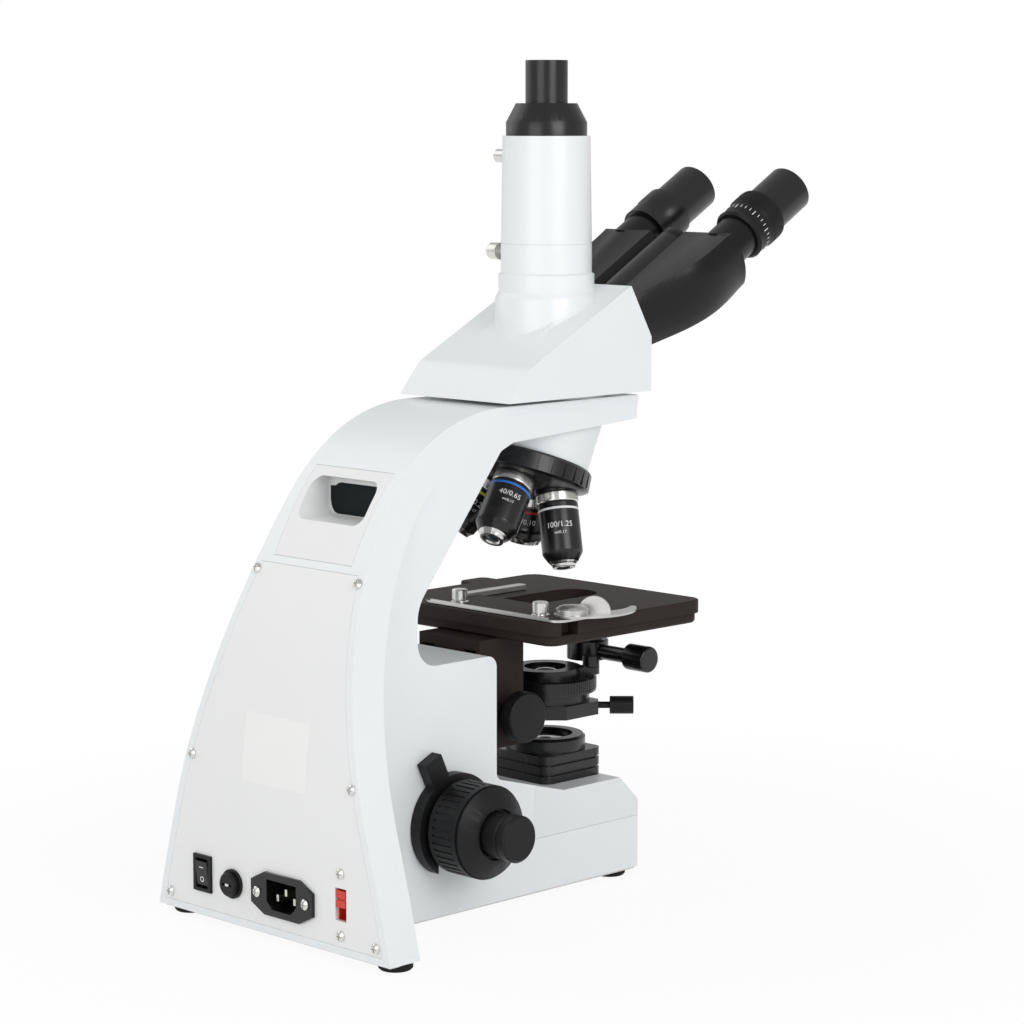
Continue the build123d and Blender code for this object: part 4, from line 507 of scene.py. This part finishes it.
def words(text, height, radius, facing, along, place):
    """Printed characters wrapped round a frame's Z, with their feet away from its origin."""
    data = bpy.data.curves.new("print", "FONT")
    data.body = text
    data.size = height * MM
    data.align_x = "CENTER"
    data.extrude = PRINT_LIFT * MM / 2
    data.resolution_u = PRINT_STEPS
    mesh = plain_mesh(in_scene("print", data))
    r = radius * MM
    for vertex in mesh.vertices:
        x, y, z = vertex.co
        turn = facing - x / r
        reach = r + z + PRINT_LIFT * MM * (0.5 - PRINT_SUNK_SHARE)
        vertex.co = (reach * math.cos(turn), reach * math.sin(turn), along * MM - y)
    bm = bmesh.new()
    bm.from_mesh(mesh)
    bmesh.ops.remove_doubles(bm, verts=bm.verts, dist=MERGE)
    bmesh.ops.recalc_face_normals(bm, faces=bm.faces)
    bm.transform(place)
    bm.to_mesh(mesh)
    bm.free()
    return mesh


def ring_tree():
    """A node tree that stands bars in a circle, for knurls, ribs and scale marks."""
    tree = bpy.data.node_groups.new("ring_of_bars", "GeometryNodeTree")
    for name, kind in (("Count", "Int"), ("Radius", "Float"), ("Bar", "Vector"), ("Material", "Material")):
        tree.interface.new_socket(name, in_out="INPUT", socket_type="NodeSocket" + kind)
    tree.interface.new_socket("Geometry", in_out="OUTPUT", socket_type="NodeSocketGeometry")
    make = tree.nodes.new
    link = tree.links.new
    given = make("NodeGroupInput")
    result = make("NodeGroupOutput")
    circle = make("GeometryNodeMeshCircle")
    bar = make("GeometryNodeMeshCube")
    stand = make("GeometryNodeInstanceOnPoints")
    outward = make("FunctionNodeAlignRotationToVector")
    outward.axis = "X"
    where = make("GeometryNodeInputPosition")
    real = make("GeometryNodeRealizeInstances")
    paint = make("GeometryNodeSetMaterial")
    link(given.outputs["Count"], circle.inputs["Vertices"])
    link(given.outputs["Radius"], circle.inputs["Radius"])
    link(given.outputs["Bar"], bar.inputs["Size"])
    link(circle.outputs["Mesh"], stand.inputs["Points"])
    link(bar.outputs["Mesh"], stand.inputs["Instance"])
    link(where.outputs["Position"], outward.inputs["Vector"])
    link(outward.outputs["Rotation"], stand.inputs["Rotation"])
    link(stand.outputs["Instances"], real.inputs["Geometry"])
    link(real.outputs["Geometry"], paint.inputs["Geometry"])
    link(given.outputs["Material"], paint.inputs["Material"])
    link(paint.outputs["Geometry"], result.inputs["Geometry"])
    return tree


RING = ring_tree()


def bars(row, radius, place, material):
    """A row of bars round a frame's Z, as one plain mesh."""
    count, bar, along = row
    carrier = in_scene("bars", bpy.data.meshes.new("bars"))
    modifier = carrier.modifiers.new("ring", "NODES")
    modifier.node_group = RING
    given = {"Count": count, "Radius": radius * MM, "Bar": [side * MM for side in bar], "Material": material}
    for item in RING.interface.items_tree:
        if item.in_out == "INPUT":
            modifier[item.identifier] = given[item.name]
    mesh = plain_mesh(carrier)
    mesh.transform(place @ Matrix.Translation((0, 0, along * MM)))
    return mesh


def dress(node, material, body, bevel):
    """A merged and softened copy of a CAD node, in place of it."""
    mesh = nodes[node].data.copy()
    bm = bmesh.new()
    bm.from_mesh(mesh)
    bmesh.ops.remove_doubles(bm, verts=bm.verts, dist=MERGE)
    bmesh.ops.dissolve_limit(bm, angle_limit=math.radians(FLAT_WITHIN), verts=bm.verts, edges=bm.edges)
    bm.to_mesh(mesh)
    bm.free()
    smooth_by_angle(mesh, DRESS_CREASE)
    piece = add_object(node + "_dressed", mesh, material, body, node)
    if bevel:
        soften = piece.modifiers.new("edges", "BEVEL")
        soften.width = bevel * MM
        soften.segments = BEVEL_STEPS
        soften.limit_method = "ANGLE"
        soften.angle_limit = math.radians(BEVEL_FROM)
        soften.harden_normals = True
        soften.use_clamp_overlap = True
    return piece


body_of = {}
for body, names in frame["record"]["behaviour"]["bodies"].items():
    for name in names:
        body_of[name] = body

# Each node's finish and how far its edges are softened; the objectives are made again further on
FINISHES = {
    "stand_casting": (WHITE, 0.5),
    "rear_panel": (PANEL_WHITE, 0.2),
    "rear_screws": (NICKEL, 0.0),
    "inlet_housing": (GLOSS_BLACK, 0.25),
    "inlet_pins": (BRASS, 0.3),
    "switch_frame": (KNOB_BLACK, 0.3),
    "switch_rocker": (GLOSS_BLACK, 0.3),
    "fuse_holder": (KNOB_BLACK, 0.3),
    "fuse_cap": (KNOB_BLACK, 0.3),
    "selector_body": (KNOB_BLACK, 0.0),
    "selector_slider": (RED, 0.2),
    "handle_insert": (INSERT_WHITE, 0.4),
    "lamp_cover": (COVER_WHITE, 0.4),
    "base_plate": (STEEL, 0.0),
    "rubber_feet": (RUBBER, 0.3),
    "led_module": (ALUMINIUM, 0.0),
    "lamp_plates": (BODY_BLACK, 0.4),
    "field_ring": (BODY_BLACK, 0.0),
    "field_lens": (FIELD_GLASS, 0.0),
    "dimmer_knob": (KNOB_BLACK, 0.0),
    "column_rail": (STEEL, 0.2),
    "nosepiece_mount": (WHITE, 0.3),
    "turret": (BODY_BLACK, 0.0),
    "focus_shaft": (STEEL, 0.0),
    "coarse_knob_left": (KNOB_BLACK, 0.0),
    "coarse_knob_right": (KNOB_BLACK, 0.0),
    "fine_knob_left": (KNOB_BLACK, 0.0),
    "fine_knob_right": (KNOB_BLACK, 0.0),
    "limit_lever": (KNOB_BLACK, 0.4),
    "tension_ring": (KNOB_BLACK, 0.0),
    "stage_slide": (STAGE_BLACK, 0.3),
    "stage_lower_plate": (STAGE_BLACK, 0.3),
    "stage_upper_plate": (STAGE_BLACK, 0.4),
    "x_knob": (KNOB_BLACK, 0.0),
    "y_knob": (KNOB_BLACK, 0.0),
    "slide_holder": (STEEL, 0.15),
    "holder_screws": (NICKEL, 0.0),
    "spring_finger": (STEEL, 0.0),
    "condenser_carrier": (BODY_BLACK, 0.4),
    "centring_screws": (KNOB_BLACK, 0.0),
    "condenser_knob": (KNOB_BLACK, 0.0),
    "condenser_body": (BODY_BLACK, 0.0),
    "condenser_lens": (LENS, 0.0),
    "iris_ring": (BODY_BLACK, 0.0),
    "top_lens_cell": (BODY_BLACK, 0.0),
    "head_housing": (WHITE, 0.6),
    "photo_tube": (WHITE, 0.0),
    "photo_adapter": (BODY_BLACK, 0.0),
    "tube_screw": (NICKEL, 0.0),
    "splitter_rod": (NICKEL, 0.0),
    "head_hub": (BODY_BLACK, 0.0),
    "pod_left": (POD_BLACK, 0.4),
    "pod_right": (POD_BLACK, 0.4),
    "diopter_ring": (KNOB_BLACK, 0.0),
    "eyepiece_left": (BODY_BLACK, 0.0),
    "eyepiece_right": (BODY_BLACK, 0.0),
}
dressed = {}
for node, (material, bevel) in FINISHES.items():
    dressed[node] = dress(node, material, body_of[node], bevel)


# Second finishes, and painted shade deep in the hand recess
def second_finish(node, material, wanted):
    """Gives the faces of a dressed piece that pass a test another finish."""
    mesh = dressed[node].data
    mesh.materials.append(material)
    for face in mesh.polygons:
        if wanted(face):
            face.material_index = len(mesh.materials) - 1


def rear_surface(node, x):
    """A function that tells how far back a node's outer surface reaches at a height, in metres."""
    mesh = nodes[node].data
    corners = [vertex.co for vertex in mesh.vertices]
    tree = BVHTree.FromPolygons(corners, [face.vertices[:] for face in mesh.polygons])

    def reach(z):
        hit = tree.ray_cast(Vector((x, FAR_BEHIND, z)), Vector((0, -1, 0)))[0]
        return hit.y if hit else -FAR_BEHIND

    return reach


holder_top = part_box("slide_holder")[0].z + HOLDER_THICK * MM
insert_back = rear_surface("handle_insert", RECESS_BESIDE * MM)
slider_low, slider_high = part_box("selector_slider")


def on_holder_top(face):
    """Whether a face lies in the slide holder's flat top."""
    return face.normal.z > TOP_FACES and abs(face.center.z - holder_top) < HOLDER_TOP_WITHIN * MM


def painted_shade_in_recess(face):
    """Whether a face lies deep in the hand recess's window, where painted shade stands for the shade inside
    the hollow arm.
    """
    if face.normal.y <= RECESS_FACES or abs(face.center.x) >= RECESS_BESIDE * MM:
        return False
    return face.center.y < insert_back(face.center.z) - RECESS_SHADE * MM


def in_selector_slot(face):
    """Whether a face lies round the selector's slider, where the moulding is red."""
    beside = slider_low.x - SLOT_BESIDE * MM < face.center.x < slider_high.x + SLOT_BESIDE * MM
    return beside and slider_low.z - SLOT_BELOW * MM < face.center.z < slider_high.z + SLOT_ABOVE * MM


second_finish("slide_holder", STAGE_BLACK, on_holder_top)
# Painted shade deep in the hand recess
second_finish("handle_insert", RECESS_PAINTED_SHADE, painted_shade_in_recess)
second_finish("selector_body", RED, in_selector_slot)


# Signs and small bright parts on the rear panel
def rear_face(node):
    """A frame on a node's widest rear face, x to the viewer's right and y up, and half its height."""
    mesh = dressed[node].data
    face = max((one for one in mesh.polygons if one.normal.y > REAR_FACES), key=lambda one: one.area)
    place = frame_on(face.center, (-1, 0, 0), face.normal)
    away = place.inverted()
    corners = [away @ mesh.vertices[i].co for i in face.vertices]
    return place, max(corner.y for corner in corners) / MM


def printed_bar(y, wide, high, place):
    """A thin printed bar on a frame's plane."""
    sides = Matrix.Diagonal((wide * MM, high * MM, 2 * PRINT_THICK * MM, 1))
    bm = bmesh.new()
    bmesh.ops.create_cube(bm, size=1.0, matrix=place @ Matrix.Translation((0, y * MM, 0)) @ sides)
    return as_mesh(bm, "printed_bar")


def rocker_marks():
    """The on and off signs of the mains rocker."""
    place, half = rear_face("switch_rocker")
    aside = half * SIGN_SHARE
    low = place @ Matrix.Translation((0, -aside * MM, 0))
    inside = [(OFF_RING_IN, 0), (OFF_RING_OUT, 0)]
    outside = [(OFF_RING_OUT, PRINT_THICK), (OFF_RING_IN, PRINT_THICK)]
    ring = turned(inside + outside + inside[:1], low, count=SMALL_ROUND, ease=0)
    dash = printed_bar(aside, ON_BAR_WIDE, ON_BAR_HIGH, place)
    add_object("rocker_marks", joined([ring, dash]), [PRINT_WHITE, PRINT_WHITE], body_of["switch_rocker"])


def fuse_contact():
    """The bright contact in the fuse cap."""
    low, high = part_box("fuse_cap")
    middle = (low + high) / 2
    place = frame_on(Vector((middle.x, high.y - CAP_SUNK * MM, middle.z)), (-1, 0, 0), (0, 1, 0))
    section = [(0, 0), (CONTACT_RADIUS, 0), (CONTACT_TOP_RADIUS, CAP_SUNK), (0, CAP_SUNK)]
    dot = turned(section, place, count=SMALL_ROUND, ease=0)
    add_object("fuse_contact", dot, NICKEL, body_of["fuse_cap"])


rocker_marks()
fuse_contact()

# Objectives: a node, its length, its radii at barrel and nose, its band's start, width and colour,
# and its print as text, height and distance from the seat
OBJECTIVES = (
    ("objective_100x", 43.8, 11.9, 6.5, (9.4, 1.3, PRINT_WHITE),
     (("100/1.25", 4.6, 21.5), (INFINITE + "/0.17", 2.5, 25.6))),
    ("objective_40x", 41.5, 12.6, 7.0, (8.4, 1.5, BAND_BLUE),
     (("40/0.65", 4.6, 17.0), (INFINITE + "/0.17", 2.5, 21.0))),
    ("objective_10x", 35.5, 12.4, 9.0, (8.4, 1.5, BAND_YELLOW),
     (("10/0.25", 4.6, 17.0), (INFINITE + "/0.17", 2.5, 21.0))),
    ("objective_4x", 29.0, 12.4, 10.0, (8.0, 1.5, BAND_RED),
     (("4/0.10", 4.4, 16.0), (INFINITE + "/-", 2.4, 19.8))),
)


def shoulder(radius):
    """The section of an objective's bright shoulder, down to its barrel."""
    return [
        (CORE_RADIUS, 0.1),
        (SHOULDER_RADIUS - 0.2, 0.1),
        (SHOULDER_RADIUS, 0.5),
        (SHOULDER_RADIUS, SHOULDER_LOW),
        (SHOULDER_RADIUS - 0.3, SHOULDER_LOW + 0.5),
        (radius - 0.5, SHOULDER_LOW + 0.7),
    ]


def barrel(radius, nose, length):
    """The section of its black barrel, with the taper towards the tip."""
    low = length - TIP_LONG
    return [
        (CORE_RADIUS, BARREL_TOP),
        (radius - 0.15, BARREL_TOP + 0.1),
        (radius, BARREL_TOP + 0.5),
        (radius, low),
        (radius - 0.7, low + 1.5),
        (nose + 2.2, length - 3.6),
        (nose + 1.4, length - 3.2),
    ]


def tip(nose, length):
    """The section of its bright tip, hollow towards the front lens."""
    return [
        (nose + 1.6, length - 3.3),
        (nose + 0.9, length - 2.2),
        (nose + 0.5, length - 1.8),
        (nose, length - 0.1),
        (nose - 2, length - 0.1),
        (nose - 2.6, length - 1),
        (nose - 3.2, length - 1),
    ]


def front_lens(nose, length):
    """The section of its front lens."""
    return [(nose - 3, length - 1.2), (nose - 4.2, length - 0.9), (0, length - 0.7)]


def colour_band(radius, at, wide):
    """The section of its painted band."""
    inner = radius - BAND_SUNK
    outer = radius + BAND_PROUD
    return [(inner, at), (outer, at), (outer, at + wide), (inner, at + wide)]


def objective(index, node, length, radius, nose, band, lines):
    """An objective in place of its CAD node, on its own seat of the leaning nosepiece."""
    around = REST_TURN + index * TURN / len(OBJECTIVES)
    seat = nose_frame() @ Matrix.Rotation(around, 4, "Z") @ Matrix.Translation((0, SEAT_RADIUS * MM, 0))
    place = seat @ Matrix.Rotation(-NOSE_LEAN, 4, "X")
    at, wide, colour = band
    made = [
        (turned(shoulder(radius), place), NICKEL),
        (bars(SHOULDER_KNURL, SHOULDER_RADIUS + KNURL_PROUD, place, NICKEL), NICKEL),
        (turned(barrel(radius, nose, length), place), BODY_BLACK),
        (turned(tip(nose, length), place), NICKEL),
        (turned(front_lens(nose, length), place, ease=0), LENS),
        (turned(colour_band(radius, at, wide), place, ease=0), colour),
    ]
    local = place.to_3x3().inverted() @ Vector(PRINT_FACES)
    facing = math.atan2(local.y, local.x)
    for text, height, along in lines:
        made.append((words(text, height, radius, facing, along, place), PRINT_WHITE))
    meshes, materials = zip(*made)
    add_object(node + "_barrel", joined(meshes), list(materials), body_of[node], node)


for index, sizes in enumerate(OBJECTIVES):
    objective(index, *sizes)


# The rating plate, the diopter ring's scale and the iris ring's ribs
def label():
    """The bare rating plate: a thin film that follows the rear panel."""
    mesh = nodes["rear_panel"].data.copy()
    bm = bmesh.new()
    bm.from_mesh(mesh)
    bmesh.ops.remove_doubles(bm, verts=bm.verts, dist=MERGE)
    left, right, low, high = LABEL_EDGES
    sides = (
        ((left, 0, 0), (-1, 0, 0)),
        ((right, 0, 0), (1, 0, 0)),
        ((0, 0, low), (0, 0, -1)),
        ((0, 0, high), (0, 0, 1)),
    )
    for point, way in sides:
        every = bm.verts[:] + bm.edges[:] + bm.faces[:]
        bmesh.ops.bisect_plane(bm, geom=every, plane_co=Vector(point) * MM, plane_no=way, clear_outer=True)
    others = [face for face in bm.faces if face.normal.y < LABEL_FACES]
    bmesh.ops.delete(bm, geom=others, context="FACES")
    film = bmesh.ops.extrude_face_region(bm, geom=bm.faces[:])["geom"]
    outer = [part for part in film if isinstance(part, bmesh.types.BMVert)]
    bmesh.ops.translate(bm, vec=(0, LABEL_THICK * MM, 0), verts=outer)
    bmesh.ops.recalc_face_normals(bm, faces=bm.faces)
    bm.to_mesh(mesh)
    bm.free()
    smooth_by_angle(mesh, LABEL_CREASE)
    add_object("rating_label", mesh, LABEL_WHITE, body_of["rear_panel"])


def diopter_marks():
    """White scale marks and a fine knurl on the left eyepiece's focusing ring."""
    place = eye_frame(-EYE_HALF) @ Matrix.Translation((0, 0, EYE_RING_S * MM))
    marks = bars(SHORT_MARKS, EYE_RING_R - MARK_SUNK, place, PRINT_WHITE)
    long_marks = bars(LONG_MARKS, EYE_RING_R - MARK_SUNK, place, PRINT_WHITE)
    knurl = bars(RING_KNURL, EYE_RING_R + RING_KNURL_PROUD, place, KNOB_BLACK)
    body = body_of["diopter_ring"]
    add_object("diopter_marks", joined([marks, long_marks]), [PRINT_WHITE, PRINT_WHITE], body)
    add_object("diopter_knurl", knurl, KNOB_BLACK, body)


def iris_knurl():
    """The ribs round the iris ring."""
    low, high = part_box("iris_ring")
    radius = (high.x - low.x) / 2 / MM - IRIS_RIB_SUNK
    ribs = bars(IRIS_RIBS, radius, Matrix.Translation((low + high) / 2), BODY_BLACK)
    add_object("iris_knurl", ribs, BODY_BLACK, body_of["iris_ring"])


label()
diopter_marks()
iris_knurl()


# Surroundings
def pale(name, colour, glow):
    """A floor finish that the camera sees as white, with the object's shadow kept close to it."""
    f = Finish(name)
    cloud = f.noise(FLOOR_CLOUD_SCALE, 2.0)
    dark = tuple(c * FLOOR_CLOUD_SHADE for c in colour)
    f.set(Base_Color=f.blend(cloud, dark, colour), Roughness=0.9, Specular_IOR_Level=0.1)
    kinds = ("Is Camera Ray", "Is Glossy Ray", "Is Transmission Ray")
    camera_ray, glossy_ray, through_ray = f.node("ShaderNodeLightPath", {}, {}, *kinds)
    seen = (camera_ray + glossy_ray + through_ray).clamp()
    light = f.node("ShaderNodeEmission", {}, {"Color": WHITE_LIGHT, "Strength": 1.0}, 0)
    far = ((f.from_middle() - SHADOW_FADE_FROM) * SHADOW_FADE_RATE).clamp()
    share = seen * (far * (1.0 - glow) + glow)
    f.feed(f.output, 0, f.node("ShaderNodeMixShader", {}, {0: share, 1: f.surface, 2: light}, 0))
    return f.material


def area_light(name, place, target, size, power):
    """A soft square lamp that looks at a point, its power in watts."""
    data = bpy.data.lights.new(name, "AREA")
    data.shape = "SQUARE"
    data.size = size
    data.energy = power
    lamp = in_scene(name, data)
    lamp.location = place
    lamp.rotation_euler = (Vector(target) - Vector(place)).to_track_quat("-Z", "Y").to_euler()


def studio_world():
    """A surround that the camera sees as white and that lights the object less."""
    world = bpy.data.worlds.new("studio")
    bpy.context.scene.world = world
    world.use_nodes = True
    sky = Graph(world.node_tree)
    seen = sky.node("ShaderNodeLightPath", {}, {}, "Is Camera Ray")
    dim = sky.node("ShaderNodeBackground", {}, {"Color": WHITE_LIGHT, "Strength": WORLD_LEVEL}, 0)
    bright = sky.node("ShaderNodeBackground", {}, {"Color": WHITE_LIGHT, "Strength": 1.0}, 0)
    mix = sky.node("ShaderNodeMixShader", {}, {0: seen, 1: dim, 2: bright}, 0)
    sky.node("ShaderNodeOutputWorld", {}, {0: mix})


floor_corners = [(x * FLOOR_HALF, y * FLOOR_HALF, 0) for x, y in ((-1, -1), (1, -1), (1, 1), (-1, 1))]
floor_mesh = bpy.data.meshes.new("floor")
floor_mesh.from_pydata(floor_corners, [], [(0, 1, 2, 3)])
floor_mesh.materials.append(pale("pale_floor", FLOOR_COLOUR, FLOOR_GLOW))
floor = in_scene("floor", floor_mesh)

area_light("key", place=(-1.7, 0.35, 0.9), target=(0, 0, 0.22), size=1.0, power=11.5)
area_light("back_left", place=(-0.4, 1.9, 0.7), target=(0, 0, 0.2), size=1.2, power=8)
area_light("right", place=(1.5, 0.5, 1.1), target=(0, 0, 0.25), size=1.4, power=5)
studio_world()

camera_data = bpy.data.cameras.new("camera")
camera_data.sensor_width = CAMERA_SENSOR
camera_data.lens = CAMERA_LENS
camera_data.clip_start = CAMERA_NEAR
camera = in_scene("camera", camera_data)
camera.location = (CAMERA_BESIDE, CAMERA_BEHIND + AXIS_Y * MM, CAMERA_ABOVE)
camera.rotation_euler = Vector(CAMERA_WAY).to_track_quat("-Z", "Y").to_euler()
bpy.context.scene.camera = camera
bpy.context.scene.view_settings.view_transform = "Standard"
